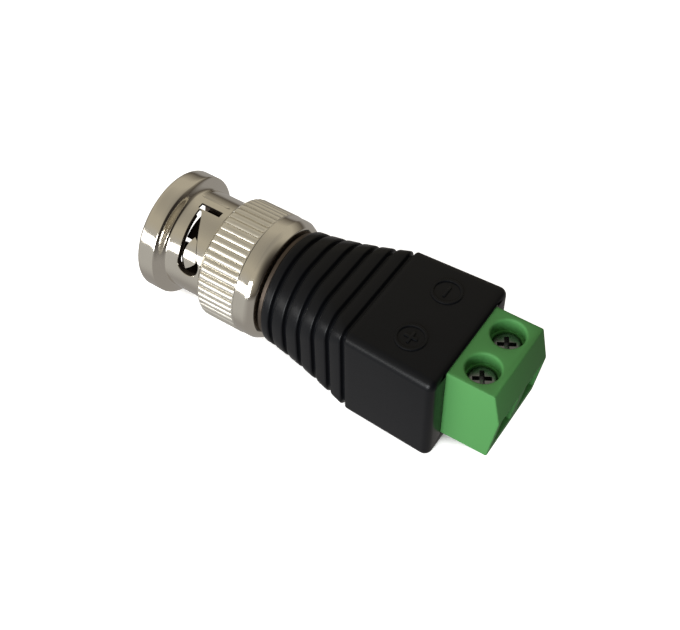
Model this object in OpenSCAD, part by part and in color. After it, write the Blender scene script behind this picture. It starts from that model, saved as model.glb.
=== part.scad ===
// Bayonet plug to two-way screw terminal adapter.
// The origin is on the plug's axis at the mouth of the coupling nut.
// X runs from the mouth to the terminals and Z points up through the clamp screws.

/* [Coupling nut] */
// Wall of the rim and of the fluted band outside the jack's bore
rim_wall = 2.15; // [1.8:0.05:2.6]
// Length of the full-radius rim at the mouth
rim_len = 2.1; // [1.6:0.1:2.6]
// Rounding of the rim's front edge
rim_round = 0.4; // [0.2:0.05:0.6]
// Length of the curve from the rim down to the waist
shoulder_len = 1.8; // [1.4:0.1:2.2]
// Wall of the waist between the rim and the fluted band
waist_wall = 0.67; // [0.55:0.01:0.9]
// Length of the waist
waist_len = 4.2; // [3.8:0.1:4.6]
// Length of the fluted band
band_len = 5.05; // [4.2:0.1:6]
// Bevel at both ends of the fluted band
band_bevel = 0.45; // [0.2:0.05:0.6]
// Number of flutes in the band
flute_count = 50; // [36:1:60]
// Depth of a flute
flute_depth = 0.3; // [0.15:0.05:0.4]
// Length of the smooth collar behind the flutes
collar_len = 1.35; // [1:0.1:2]
// Amount by which the collar is smaller than the band
collar_drop = 0.06; // [0.02:0.02:0.2]
// Length of the bevel at the back of the nut
tail_bevel_len = 1.0; // [0.6:0.1:1.3]
// Depth of the bevel at the back of the nut
tail_bevel_depth = 0.55; // [0.3:0.05:0.7]

/* [Mouth of the nut] */
// Radius of the bore that takes the jack
jack_bore_r = 4.95; // [4.9:0.01:5]
// Length of that bore past the end of the rim
jack_bore_past = 0.9; // [0.5:0.1:1.3]
// Step from the bore to the wider space behind it
relief_step = 0.25; // [0.15:0.05:0.35]
// Step from there to the space under the fluted band
band_step = 0.4; // [0.3:0.05:0.5]
// Width of the two ways in for the jack's studs
keyway_w = 2.4; // [2.2:0.1:2.6]
// Depth of the studs' ways outside the bore
keyway_depth = 0.63; // [0.55:0.01:0.68]

/* [Cam slots] */
// Angle at which a slot starts, from +Y towards +Z
slot_start = 95; // [90:1:100]
// Angle of the hole that locks the stud
slot_catch = 157; // [150:1:164]
// Distance from the start of the waist to the slot's narrow end
slot_setback = 0.4; // [0.3:0.05:0.6]
// Width of the slot's narrow end
slot_start_w = 0.2; // [0.1:0.05:0.4]
// How soon the slot opens to its full width
slot_ease = 0.75; // [0.6:0.05:1]
// Distance from the start of the waist to the locking hole
catch_setback = 2.1; // [1.9:0.05:2.3]
// Radius of the locking hole
catch_r = 1.38; // [1.2:0.02:1.45]
// Slices in the curved part of a slot
slot_slices = 14; // [8:1:24]

/* [Plug body] */
// Gap between the flange and the nut round it
flange_gap = 0.4; // [0.3:0.05:0.5]
// Thickness of the flange
flange_t = 1.2; // [1:0.1:1.3]
// Distance from the start of the fluted band to the flange's front face
flange_setback = 1.2; // [1:0.1:1.4]
// Width of the flange outside the neck that the nut turns on
flange_w = 0.9; // [0.85:0.05:0.95]
// Step from the neck down to the tail inside the shoulder bush
tail_step = 0.8; // [0.7:0.05:1]
// Length of the tail behind the neck
tail_len = 6.3; // [6:0.1:6.6]
// Wall of the tail round the through bore
tail_wall = 1.0; // [0.9:0.05:1.2]
// Depth of the seat for the contact sleeve
sleeve_seat = 1.0; // [0.8:0.05:1.05]
// Depth of the groove for the retaining ring
ring_groove = 0.45; // [0.42:0.01:0.5]

/* [Spring and washers] */
// Height of the wave washer at rest
wave_h = 1.1; // [1:0.05:1.2]
// Thickness of the wave washer's strip
wave_t = 0.25; // [0.15:0.05:0.3]
// Room beside the wave washer's strip on either side
wave_room = 0.15; // [0.1:0.01:0.2]
// Waves in the wave washer
wave_count = 3; // [2:1:4]
// Thickness of the thrust washer
thrust_t = 0.5; // [0.4:0.05:0.6]
// Gap between the thrust washer and the nut round it
thrust_gap = 0.3; // [0.2:0.05:0.4]
// Thickness of the nut's inner lip
lip_t = 1.55; // [1.3:0.05:1.7]
// Thickness of the retaining ring
ring_t = 0.6; // [0.4:0.05:0.7]
// Width of the retaining ring outside the neck
ring_w = 0.65; // [0.5:0.05:0.7]
// Room round the retaining ring in the nut's back
ring_room = 0.45; // [0.3:0.05:0.5]
// Opening of the retaining ring
ring_gap = 2.0; // [1.5:0.1:3]

/* [Contacts] */
// Room between the contact sleeve and the jack's bore, for the jack's barrel
barrel_room = 0.9; // [0.85:0.01:0.95]
// Wall of the contact sleeve
sleeve_wall = 0.55; // [0.4:0.05:0.6]
// Distance from the mouth's bore to the sleeve's tip
sleeve_setback = 0.8; // [0.7:0.1:1.2]
// Bevel at the sleeve's tip
sleeve_bevel = 0.2; // [0.1:0.05:0.3]
// Number of slots in the sleeve
sleeve_slots = 4; // [4:1:6]
// Width of a sleeve slot
sleeve_slot_w = 0.5; // [0.3:0.05:0.6]
// Length of the sleeve left whole behind its slots
sleeve_root = 1.3; // [1:0.1:1.9]
// Step down from the sleeve to its root under the gasket
sleeve_step = 0.2; // [0.18:0.01:0.24]
// Radius of the centre pin's contact end
pin_r = 0.675; // [0.66:0.005:0.69]
// Distance from the sleeve's tip to the pin's tip
pin_setback = 0.6; // [0.3:0.1:1]
// Radius of the pin inside the beads
pin_shank_r = 1.0; // [0.9:0.05:1.2]
// Depth of the solder cup's hole
cup_depth = 2.0; // [1.5:0.1:2.5]
// Radius of the solder cup's hole
cup_r = 0.6; // [0.5:0.05:0.7]
// Length of the cup that stands out of the bead
cup_len = 1.0; // [0.8:0.1:1.2]

/* [Beads and gasket] */
// Length of the front bead's head inside the sleeve
bead_head = 0.9; // [0.7:0.05:0.95]
// Length of the front bead's spigot
bead_spigot = 1.8; // [1.4:0.1:2.4]
// Length of the rear bead
rear_bead_len = 5.0; // [4:0.1:6]
// Gap between the gasket and the nut round it
gasket_room = 0.33; // [0.25:0.01:0.5]
// Thickness of the gasket
gasket_t = 0.78; // [0.6:0.02:0.9]

/* [Shoulder bush] */
// Width of the bush's flange outside its stub
bush_flange_w = 1.3; // [1:0.05:1.4]
// Thickness of the bush's flange
bush_flange_t = 0.55; // [0.4:0.05:0.7]
// Wall of the stub anchored in the moulding
stub_wall = 1.38; // [1.2:0.02:1.5]
// Length of the stub
stub_len = 5.0; // [4.4:0.1:5.4]
// Number of anchoring grooves in the stub
stub_grooves = 2; // [1:1:3]
// Depth of an anchoring groove
stub_groove_depth = 0.35; // [0.2:0.05:0.5]

/* [Grip moulding] */
// Wall of the round neck outside the stub
neck_wall = 1.66; // [1.5:0.02:1.9]
// Wall of the square end beside the terminal block, at the back
side_wall = 2.61; // [2.3:0.01:2.9]
// Amount by which each side draws in towards the front of the square end
side_draft = 0.52; // [0.3:0.02:0.7]
// Wall of the square end above the terminal block
top_wall = 0.48; // [0.4:0.02:0.7]
// Rounding of the square end's long edges
block_edge_r = 1.1; // [0.9:0.05:1.5]
// Rounding of the square end's back edges
block_back_r = 0.9; // [0.5:0.05:1]
// Length of the square end
block_len = 10.55; // [10:0.1:12]
// Number of grooves
groove_count = 6; // [4:1:7]
// Distance from one groove to the next
groove_pitch = 1.91; // [1.8:0.01:2]
// Width of a groove
groove_w = 0.5; // [0.4:0.02:0.6]
// Depth of a groove
groove_depth = 0.5; // [0.3:0.05:0.6]
// Rounding of the edges beside a groove
rib_round = 0.2; // [0.1:0.02:0.3]
// Length of the plain ring in front of the first groove
neck_ring_len = 0.95; // [0.8:0.05:1.2]
// How late the round neck turns square
square_power = 1.45; // [1.2:0.05:1.8]
// Room round the end of the stub in the round hollow
hollow_room = 0.08; // [0.05:0.01:0.2]
// Width of the ledge that stops the terminal block in its pocket
pocket_ledge = 0.83; // [0.6:0.01:1.1]
// Length of the square hollow
hollow_len = 9.0; // [8.6:0.1:9.4]

/* [Polarity marks] */
// Radius of the ring round a mark
mark_r = 1.68; // [1.4:0.02:1.9]
// Width of a mark's line
mark_line = 0.3; // [0.2:0.02:0.4]
// Height of a mark above the top
mark_h = 0.16; // [0.1:0.02:0.3]
// Length of the plus and minus strokes
mark_stroke = 1.5; // [1:0.1:1.8]
// Distance from the marks to the back of the moulding
mark_back = 5.0; // [4.5:0.1:5.5]
// Half the distance between the two marks
mark_half_pitch = 3.53; // [3.2:0.05:3.8]

/* [Terminal block] */
// Distance between the two poles
pole_pitch = 5.08; // [5:0.01:5.1]
// Height of the block's top above the axis
term_top = 5.77; // [5.6:0.01:5.8]
// Depth of the block's underside below the axis
term_bottom = 4.46; // [4.4:0.01:4.6]
// Length of the block from its back to its nose
term_len = 10.0; // [9.6:0.1:10.4]
// Length of the block inside the moulding
term_inset = 3.9; // [3.4:0.1:4.2]
// Distance from the top down to the nose line
nose_drop = 3.98; // [3.7:0.01:4.2]
// Set-back of the top edge behind the nose
nose_slope = 0.83; // [0.6:0.01:1]
// Distance from the nose to the screws' axes
screw_back = 3.5; // [3.4:0.05:3.7]
// Radius of a screw well
well_r = 1.8; // [1.75:0.01:1.85]
// Bevel round the top of a well
well_bevel = 0.2; // [0.1:0.05:0.3]
// Step from the well in to its lower part round the screw's head
head_well_step = 0.2; // [0.18:0.01:0.24]
// Thickness of the ledge under a screw's head
ledge_t = 0.6; // [0.5:0.05:0.7]
// Thickness of the wall between the two clamp chambers
partition_t = 1.18; // [1.1:0.02:1.3]
// Length of a clamp chamber
chamber_len = 3.8; // [3.7:0.05:4]
// Thickness of the floor under the chambers
floor_t = 0.56; // [0.5:0.02:0.7]
// Height of the sill under a wire entry
entry_sill = 1.0; // [0.8:0.05:1.1]
// Width of the rim on each side of a wire entry
entry_rim = 0.1; // [0.05:0.05:0.2]

/* [Clamps] */
// Gap round a screw's head
head_gap = 0.1; // [0.05:0.01:0.12]
// Thickness of a screw's head
head_t = 1.3; // [1.1:0.05:1.4]
// Depth of a screw's head below the top of the block
head_depth = 1.7; // [1.6:0.05:1.8]
// Width of the cross recess
recess_w = 0.5; // [0.4:0.05:0.6]
// Length of the cross recess
recess_len = 2.0; // [1.6:0.1:2.4]
// Depth of the cross recess
recess_depth = 0.8; // [0.6:0.05:0.9]
// Radius of a screw's shank
shank_r = 1.2; // [1.15:0.01:1.25]
// Thickness of a cage's sides
cage_wall = 0.45; // [0.4:0.05:0.5]
// Thickness of a cage's floor
cage_floor = 0.6; // [0.5:0.05:0.65]
// Thickness of a cage's threaded top
cage_top_t = 1.2; // [1.1:0.05:1.3]
// Height of the window in a cage
window_h = 2.3; // [2.25:0.05:2.35]
// Thickness of a current bar
bar_t = 0.6; // [0.5:0.05:0.62]
// Gap beside a current bar in the cage's window
bar_side_gap = 0.35; // [0.2:0.05:0.4]
// Width of a bar's solder tail
tail_w = 1.0; // [0.8:0.05:1.2]
// Length of a bar's solder tail
bar_tail_len = 3.2; // [3:0.1:3.6]

/* [Leads] */
// Radius of a lead's tinned strand
strand_r = 0.4; // [0.3:0.05:0.45]
// Radius of a lead's sleeve
sheath_r = 0.65; // [0.55:0.05:0.7]
// Thickness of the solder tag
lug_t = 0.4; // [0.3:0.05:0.5]
// Width of the solder tag's ring
lug_ring_w = 1.1; // [0.9:0.05:1.2]
// Width of the solder tag's tongue
lug_tongue_w = 2.0; // [1.6:0.1:2.4]
// Length of the solder tag's tongue
lug_tongue_len = 2.4; // [2:0.1:2.8]

/* [Clearances] */
// Clearance of a pressed or moulded seat
seat_gap = 0.02; // [0.01:0.01:0.03]
// Running clearance of the nut on the neck
run_gap = 0.1; // [0.06:0.01:0.1]
// End play of the nut and washers
end_gap = 0.05; // [0.03:0.01:0.08]
// Gap between the nut's back and the shoulder bush
nut_back_gap = 0.3; // [0.2:0.05:0.5]
// Running clearance of the screw in its cage
thread_gap = 0.05; // [0.03:0.01:0.08]
// Clearance round the terminal block in its pocket
pocket_gap = 0.05; // [0.03:0.01:0.08]
// Clearance round and below a cage in its chamber
cage_gap = 0.2; // [0.15:0.05:0.25]

/* [Hidden] */

$fn = 96;
cut = 0.1;

// Radii of the nut and the body, from the jack's bore
nut_r = jack_bore_r + rim_wall;
relief_r = jack_bore_r + relief_step;
waist_r = relief_r + waist_wall;
band_space_r = relief_r + band_step;
keyway_r = jack_bore_r + keyway_depth;
sleeve_r = jack_bore_r - barrel_room;
flange_r = band_space_r - flange_gap;
neck_r = flange_r - flange_w;
tail_r = neck_r - tail_step;
body_bore_r = tail_r - tail_wall;
wave_w = flange_w - 2 * wave_room;
thrust_r = band_space_r - thrust_gap;
ring_r = neck_r + ring_w;
stub_r = tail_r + seat_gap + stub_wall;
bush_flange_r = stub_r + bush_flange_w;
sleeve_root_r = sleeve_r - sleeve_step;
gasket_in_r = sleeve_root_r + seat_gap;
gasket_r = relief_r - gasket_room;

// Stations along the nut
waist_x = rim_len + shoulder_len;
jack_bore_len = rim_len + jack_bore_past;
slot_front_x = waist_x + slot_setback;
catch_x = waist_x + catch_setback;
sleeve_tip_x = jack_bore_len + sleeve_setback;
pin_tip_x = sleeve_tip_x + pin_setback;
band_x = waist_x + waist_len;
collar_x = band_x + band_len;
tail_bevel_x = collar_x + collar_len;
nut_len = tail_bevel_x + tail_bevel_len;
collar_r = nut_r - collar_drop;
nut_tail_r = collar_r - tail_bevel_depth;
shoulder_steps = 10;

// Stations of the stack behind the flange
flange_x = band_x + flange_setback;
flange_back = flange_x + flange_t;
wave_x = flange_back + seat_gap;
thrust_x = wave_x + wave_h + seat_gap;
lip_x = thrust_x + thrust_t + end_gap;
lip_back = lip_x + lip_t;
lip_r = neck_r + run_gap;
ring_x = lip_back + end_gap;
ring_space_r = ring_r + ring_room;
bush_x = nut_len + nut_back_gap;
tail_x = bush_x + tail_len;

// Stations of the contacts and beads
sleeve_in_r = sleeve_r - sleeve_wall;
sleeve_back = flange_x + sleeve_seat - seat_gap;
gasket_x = flange_x - seat_gap - gasket_t;
bead_x = sleeve_back - bead_head;
bead_back = sleeve_back + bead_spigot;
rear_bead_x = tail_x - rear_bead_len;
pin_back = tail_x + cup_len;
pin_shank_x = bead_x + seat_gap;

// Radii, widths and stations of the moulding
term_w = 2 * pole_pitch;
grip_neck_r = stub_r + seat_gap + neck_wall;
block_back_half_w = term_w / 2 + pocket_gap + side_wall;
block_front_half_w = block_back_half_w - side_draft;
block_half_h = term_top + pocket_gap + top_wall;
hollow_r = stub_r + seat_gap + hollow_room;
hollow_half_w = term_w / 2 + pocket_gap - pocket_ledge;
stub_x = bush_x + bush_flange_t;
stub_back = stub_x + stub_len;
grip_x = stub_x + end_gap;
first_groove = grip_x + neck_ring_len + groove_w / 2 + 0.14;
block_x = first_groove + (groove_count - 1) * groove_pitch + groove_w / 2;
block_back = block_x + block_len;
pocket_x = block_back - term_inset;
hollow_x = pocket_x - hollow_len;
corner_steps = 7;
mark_x = block_back - mark_back;

// Stations of the terminal block
term_x = pocket_x + pocket_gap;
nose_x = term_x + term_len;
edge_x = nose_x - nose_slope;
screw_x = nose_x - screw_back;
nose_z = term_top - nose_drop;
head_well_r = well_r - head_well_step;
head_r = head_well_r - head_gap;
chamber_w = pole_pitch - partition_t;
entry_w = chamber_w - 2 * entry_rim;
cage_w = chamber_w - 2 * cage_gap;
cage_len = chamber_len - 0.5;
bar_w = cage_w - 2 * cage_wall - 2 * bar_side_gap;
head_z = term_top - head_depth;
seat_z = head_z - head_t;
ceiling_z = seat_z - ledge_t;
floor_z = floor_t - term_bottom;
sill_z = floor_z + entry_sill;
cage_z = floor_z + cage_gap;
window_z = cage_z + cage_floor;
cage_top_z = window_z + window_h;
bar_z = cage_top_z - bar_t - 0.1;
shank_end_z = bar_z + bar_t + 0.15;
lug_x = stub_back + seat_gap;
lug_r = tail_r + seat_gap + lug_ring_w;

NICKEL = [0.78, 0.75, 0.68];
BRASS = [0.83, 0.68, 0.35];
STEEL = [0.62, 0.63, 0.65];
BLACK = [0.11, 0.11, 0.12];
GREEN = [0.27, 0.55, 0.27];
WHITE = [0.93, 0.93, 0.9];

// Solid between a list of rings of points, closed at both ends or joined end to end
module skin(rings, joined = false) {
    n = len(rings[0]);
    m = len(rings);
    last = joined ? m - 1 : m - 2;
    sides = [for (k = [0:last]) for (i = [0:n - 1])
        [k * n + i, ((k + 1) % m) * n + i, ((k + 1) % m) * n + (i + 1) % n, k * n + (i + 1) % n]];
    ends = joined ? [] : [[for (i = [0:n - 1]) i], [for (i = [n - 1:-1:0]) (m - 1) * n + i]];
    polyhedron(points = [for (ring = rings) each ring], faces = concat(sides, ends));
}

// Lays a shape turned about Z along the X axis
module along_x() {
    rotate([0, 90, 0]) children();
}

// Round bar or hole along the axis
module rod(x0, x1, r) {
    translate([x0, 0, 0]) along_x() cylinder(h = x1 - x0, r = r);
}

// Cone along the axis
module cone_x(x0, x1, r0, r1) {
    translate([x0, 0, 0]) along_x() cylinder(h = x1 - x0, r1 = r0, r2 = r1);
}

// Turned ring of a rectangular section
module ring_x(x0, x1, r_in, r_out) {
    difference() {
        rod(x0, x1, r_out);
        rod(x0 - cut, x1 + cut, r_in);
    }
}

// Turned solid from a profile of [radius, place along the axis]
module turned(profile) {
    along_x() rotate_extrude() polygon(profile);
}

// Points of a quarter or other arc, as [radius, place]
function arc(cr, cx, r, a0, a1, steps) =
    [for (i = [0:steps]) [cr + r * cos(a0 + (a1 - a0) * i / steps), cx + r * sin(a0 + (a1 - a0) * i / steps)]];

// Outer form of the nut before its flutes are cut
function nut_profile() = concat(
    [[0, 0]],
    arc(nut_r - rim_round, rim_round, rim_round, -90, 0, 5),
    [for (i = [0:shoulder_steps])
        [waist_r + (nut_r - waist_r) * (0.5 + 0.5 * cos(180 * i / shoulder_steps)),
         rim_len + shoulder_len * i / shoulder_steps]],
    [[waist_r, band_x], [nut_r - band_bevel, band_x], [nut_r, band_x + band_bevel],
     [nut_r, collar_x - band_bevel / 3], [collar_r, collar_x], [collar_r, tail_bevel_x],
     [nut_tail_r, nut_len], [0, nut_len]]);

// Straight flutes cut into the band
module flutes() {
    half = 180 / flute_count;
    root = nut_r - flute_depth;
    rim = nut_r + 0.3;
    section = [root * [cos(-0.16 * half), sin(-0.16 * half)], rim * [cos(-0.75 * half), sin(-0.75 * half)],
               rim * [cos(0.75 * half), sin(0.75 * half)], root * [cos(0.16 * half), sin(0.16 * half)]];
    translate([band_x - 0.2, 0, 0]) along_x()
        for (i = [0:flute_count - 1]) rotate([0, 0, 2 * half * i])
            linear_extrude(height = band_len + 0.2 - band_bevel / 6) polygon(section);
}

// Curved wedge of a cam slot, through the wall of the waist
module slot_wedge() {
    inner = relief_r - 0.7;
    outer = waist_r + 0.6;
    reach = 0.94 * catch_r;
    rings = [for (k = [0:slot_slices])
        let (t = k / slot_slices,
             a = slot_start + (slot_catch - slot_start) * t,
             c = [0, cos(a), sin(a)],
             f = [slot_front_x + (catch_x - reach - slot_front_x) * t, 0, 0],
             back = slot_front_x + slot_start_w,
             b = [back + (catch_x + reach - back) * pow(t, slot_ease), 0, 0])
        [f + inner * c, b + inner * c, b + outer * c, f + outer * c]];
    skin(rings);
}

// One cam slot with its locking hole and the stud's way in
module cam_slot() {
    slot_wedge();
    translate([catch_x, 0, 0]) rotate([slot_catch - 90, 0, 0])
        translate([0, 0, relief_r - 0.7]) cylinder(h = waist_r - relief_r + 1.5, r = catch_r, $fn = 48);
    rotate([slot_start - 90 - 6, 0, 0])
        intersection() {
            translate([-cut, -keyway_w / 2, 0]) cube([slot_front_x + 0.8 + cut, keyway_w, keyway_r + cut]);
            rod(-cut, slot_front_x + 0.8, keyway_r);
        }
}

module coupling_nut() {
    color(NICKEL) difference() {
        turned(nut_profile());
        flutes();
        rod(-cut, jack_bore_len + cut, jack_bore_r);
        rod(jack_bore_len, band_x + band_bevel, relief_r);
        rod(band_x + band_bevel - cut, lip_x, band_space_r);
        rod(lip_x - cut, lip_back + cut, lip_r);
        rod(lip_back, nut_len + cut, ring_space_r);
        for (turn = [0, 180]) rotate([turn, 0, 0]) cam_slot();
    }
}

module plug_body() {
    color(NICKEL) difference() {
        union() {
            rod(flange_x, flange_back, flange_r);
            rod(flange_x, bush_x, neck_r);
            rod(flange_x, tail_x, tail_r);
        }
        rod(flange_x - cut, flange_x + sleeve_seat, sleeve_root_r + seat_gap);
        rod(flange_x, tail_x + cut, body_bore_r);
        ring_x(ring_x - seat_gap, ring_x + ring_t + seat_gap, neck_r - ring_groove, neck_r + cut);
    }
}

module shoulder_bush() {
    color(NICKEL) difference() {
        union() {
            rod(bush_x, stub_x, bush_flange_r);
            rod(bush_x, stub_back, stub_r);
        }
        rod(bush_x - cut, stub_back + cut, tail_r + seat_gap);
        for (i = [1:stub_grooves]) {
            x = stub_x + stub_len * i / (stub_grooves + 1);
            ring_x(x - 0.3, x + 0.3, stub_r - stub_groove_depth, stub_r + cut);
        }
    }
}

module outer_contact() {
    color(NICKEL) difference() {
        turned([[sleeve_in_r, sleeve_tip_x], [sleeve_r - sleeve_bevel, sleeve_tip_x],
                [sleeve_r, sleeve_tip_x + sleeve_bevel], [sleeve_r, gasket_x - seat_gap],
                [sleeve_root_r, gasket_x - seat_gap], [sleeve_root_r, sleeve_back],
                [sleeve_in_r, sleeve_back]]);
        for (i = [0:sleeve_slots - 1]) rotate([45 + 360 * i / sleeve_slots, 0, 0])
            translate([sleeve_tip_x - cut, -sleeve_slot_w / 2, 0])
                cube([flange_x - sleeve_root - sleeve_tip_x + cut, sleeve_slot_w, sleeve_r + cut]);
    }
}

module centre_pin() {
    color(BRASS) difference() {
        union() {
            turned(concat([[0, pin_tip_x]], arc(0.3, pin_tip_x + 0.375, 0.375, -90, 0, 5),
                          [[pin_r, pin_shank_x + cut], [0, pin_shank_x + cut]]));
            rod(pin_shank_x, pin_back, pin_shank_r);
        }
        rod(pin_back - cup_depth, pin_back + cut, cup_r);
        translate([pin_back - cup_len * 0.8, -cup_r, 0]) cube([cup_len, 2 * cup_r, pin_shank_r + cut]);
    }
}

module front_insulator() {
    color(WHITE) difference() {
        union() {
            rod(bead_x, sleeve_back, sleeve_in_r - seat_gap);
            rod(bead_x, bead_back, body_bore_r - seat_gap);
        }
        rod(bead_x - cut, bead_back + cut, pin_shank_r + seat_gap);
    }
}

module rear_insulator() {
    color(WHITE) ring_x(rear_bead_x, tail_x, pin_shank_r + seat_gap, body_bore_r - seat_gap);
}

module sealing_gasket() {
    bevel = 0.15;
    color([0.75, 0.3, 0.22]) turned([[gasket_in_r, gasket_x + bevel], [gasket_in_r + bevel, gasket_x],
        [gasket_r - bevel, gasket_x], [gasket_r, gasket_x + bevel],
        [gasket_r, gasket_x + gasket_t], [gasket_in_r, gasket_x + gasket_t]]);
}

module wave_washer() {
    steps = 16 * wave_count;
    inner = neck_r + wave_room;
    amplitude = (wave_h - wave_t) / 2;
    rings = [for (k = [0:steps - 1])
        let (a = 360 * k / steps,
             x = wave_x + wave_h / 2 + amplitude * cos(a * wave_count),
             c = [0, cos(a), sin(a)])
        [[x - wave_t / 2, 0, 0] + inner * c, [x + wave_t / 2, 0, 0] + inner * c,
         [x + wave_t / 2, 0, 0] + (inner + wave_w) * c, [x - wave_t / 2, 0, 0] + (inner + wave_w) * c]];
    color(STEEL) skin(rings, joined = true);
}

module thrust_washer() {
    color(STEEL) ring_x(thrust_x, thrust_x + thrust_t, lip_r, thrust_r);
}

module retaining_ring() {
    color(STEEL) difference() {
        ring_x(ring_x, ring_x + ring_t, neck_r - ring_groove + seat_gap, ring_r);
        translate([ring_x - cut, -ring_gap / 2, 0]) cube([ring_t + 2 * cut, ring_gap, ring_r + cut]);
    }
}

// Section of the moulding at a station, as one ring of points
function grip_ring(x, inset) =
    let (t = min(max((x - grip_x) / (block_x - grip_x), 0), 1),
         b = min(max((x - block_x) / block_len, 0), 1),
         w = grip_neck_r + (block_front_half_w - grip_neck_r) * t + (block_back_half_w - block_front_half_w) * b,
         h = grip_neck_r + (block_half_h - grip_neck_r) * t,
         round_r = grip_neck_r - 0.06,
         r = round_r + (block_edge_r - round_r) * pow(t, square_power),
         c = max(r - inset, 0.12))
    [for (q = [0:3]) for (i = [0:corner_steps])
        let (a = 90 * (q + i / corner_steps),
             sy = (q == 0 || q == 3) ? 1 : -1,
             sz = q < 2 ? 1 : -1)
        [x, sy * (w - inset - c) + c * cos(a), sz * (h - inset - c) + c * sin(a)]];

// Stations of one groove, as pairs of place and inset
function groove_stations(x) =
    let (g = groove_w / 2, e = rib_round)
    [[x - g - e, 0], [x - g - 0.3 * e, 0.3 * e], [x - g, e], [x - g + 0.04, groove_depth],
     [x + g - 0.04, groove_depth], [x + g, e], [x + g + 0.3 * e, 0.3 * e], [x + g + e, 0]];

// Full outer form of the moulding, from the round neck to the square end
module grip_form() {
    front = [[grip_x, 0.3], [grip_x + 0.1, 0.1], [grip_x + 0.3, 0]];
    grooves = [for (i = [0:groove_count - 1]) each groove_stations(first_groove + i * groove_pitch)];
    back = [for (i = [0:5]) let (a = 18 * i)
        [block_back - block_back_r + block_back_r * sin(a), block_back_r * (1 - cos(a))]];
    skin([for (s = concat(front, grooves, back)) grip_ring(s[0], s[1])]);
}

// Raised ring with a plus or a minus
module polarity_mark(plus) {
    base = block_half_h - 0.1;
    translate([mark_x, 0, base]) {
        difference() {
            cylinder(h = mark_h + 0.1, r = mark_r, $fn = 48);
            translate([0, 0, -cut]) cylinder(h = mark_h + 1, r = mark_r - mark_line, $fn = 48);
        }
        translate([-mark_line / 2, -mark_stroke / 2, 0]) cube([mark_line, mark_stroke, mark_h + 0.1]);
        if (plus) translate([-mark_stroke / 2, -mark_line / 2, 0]) cube([mark_stroke, mark_line, mark_h + 0.1]);
    }
}

module grip_housing() {
    pocket_half_w = term_w / 2 + pocket_gap;
    hollow_top = term_top - pocket_ledge;
    hollow_bottom = term_bottom - pocket_ledge / 2;
    color(BLACK) difference() {
        union() {
            grip_form();
            translate([0, -mark_half_pitch, 0]) polarity_mark(true);
            translate([0, mark_half_pitch, 0]) polarity_mark(false);
        }
        rod(grip_x - cut, stub_back, stub_r + seat_gap);
        rod(stub_back - cut, hollow_x + 1, hollow_r);
        translate([hollow_x, -hollow_half_w, -hollow_bottom])
            cube([hollow_len + cut, 2 * hollow_half_w, hollow_top + hollow_bottom]);
        translate([pocket_x, -pocket_half_w, -term_bottom - pocket_gap])
            cube([term_inset + cut, 2 * pocket_half_w, term_top + term_bottom + 2 * pocket_gap]);
    }
}

// Runs its child at both poles, the first on the -Y side
module at_pole(i) {
    translate([0, (i - 1.5) * pole_pitch, 0]) children();
}

module terminal_housing() {
    side = [[term_x, -term_bottom], [edge_x, -term_bottom], [nose_x, nose_z], [edge_x, term_top],
            [term_x, term_top]];
    color(GREEN) difference() {
        translate([0, term_w / 2, 0]) rotate([90, 0, 0]) linear_extrude(height = term_w) polygon(side);
        for (i = [1, 2]) at_pole(i) {
            translate([screw_x, 0, head_z + 0.1]) cylinder(h = term_top - head_z, r = well_r);
            translate([screw_x, 0, term_top - well_bevel])
                cylinder(h = well_bevel + 0.01, r1 = well_r, r2 = well_r + well_bevel + 0.01);
            translate([screw_x, 0, seat_z]) cylinder(h = head_t + 1, r = head_well_r);
            translate([screw_x, 0, ceiling_z - cut]) cylinder(h = ledge_t + 1, r = shank_r + 0.15);
            translate([screw_x - chamber_len / 2, -chamber_w / 2, floor_z])
                cube([chamber_len, chamber_w, ceiling_z - floor_z]);
            translate([screw_x, -entry_w / 2, sill_z])
                cube([screw_back + 1, entry_w, nose_z - sill_z - 0.04]);
            translate([term_x - cut, -bar_w / 2 - seat_gap, bar_z - seat_gap])
                cube([screw_x - term_x, bar_w + 2 * seat_gap, bar_t + 2 * seat_gap]);
        }
    }
}

module clamp_screw(i) {
    color(STEEL) at_pole(i) translate([screw_x, 0, 0]) difference() {
        union() {
            translate([0, 0, seat_z + seat_gap]) cylinder(h = head_t - 0.15 - seat_gap, r = head_r);
            translate([0, 0, head_z - 0.151]) cylinder(h = 0.151, r1 = head_r, r2 = head_r - 0.15);
            translate([0, 0, shank_end_z]) cylinder(h = head_z - 1 - shank_end_z, r = shank_r);
        }
        for (turn = [0, 90]) rotate([0, 0, 30 + turn])
            translate([-recess_len / 2, -recess_w / 2, head_z - recess_depth])
                cube([recess_len, recess_w, recess_depth + cut]);
        translate([0, 0, head_z - recess_depth]) cylinder(h = recess_depth + 0.01, r1 = 0.3, r2 = 0.55);
    }
}

module clamp_cage(i) {
    cage_h = cage_top_z + cage_top_t - cage_z;
    color(STEEL) at_pole(i) translate([screw_x, 0, 0]) difference() {
        translate([-cage_len / 2, -cage_w / 2, cage_z]) cube([cage_len, cage_w, cage_h]);
        translate([-cage_len / 2 - cut, cage_wall - cage_w / 2, window_z])
            cube([cage_len + 2 * cut, cage_w - 2 * cage_wall, window_h]);
        translate([0, 0, cage_top_z - cut]) cylinder(h = cage_top_t + 2 * cut, r = shank_r + thread_gap);
    }
}

module contact_bar(i) {
    color(NICKEL) at_pole(i) {
        translate([term_x, -bar_w / 2, bar_z])
            cube([screw_x + cage_len / 2 - term_x, bar_w, bar_t]);
        translate([term_x - bar_tail_len, -tail_w / 2, bar_z])
            cube([bar_tail_len + cut, tail_w, bar_t]);
    }
}

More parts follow.
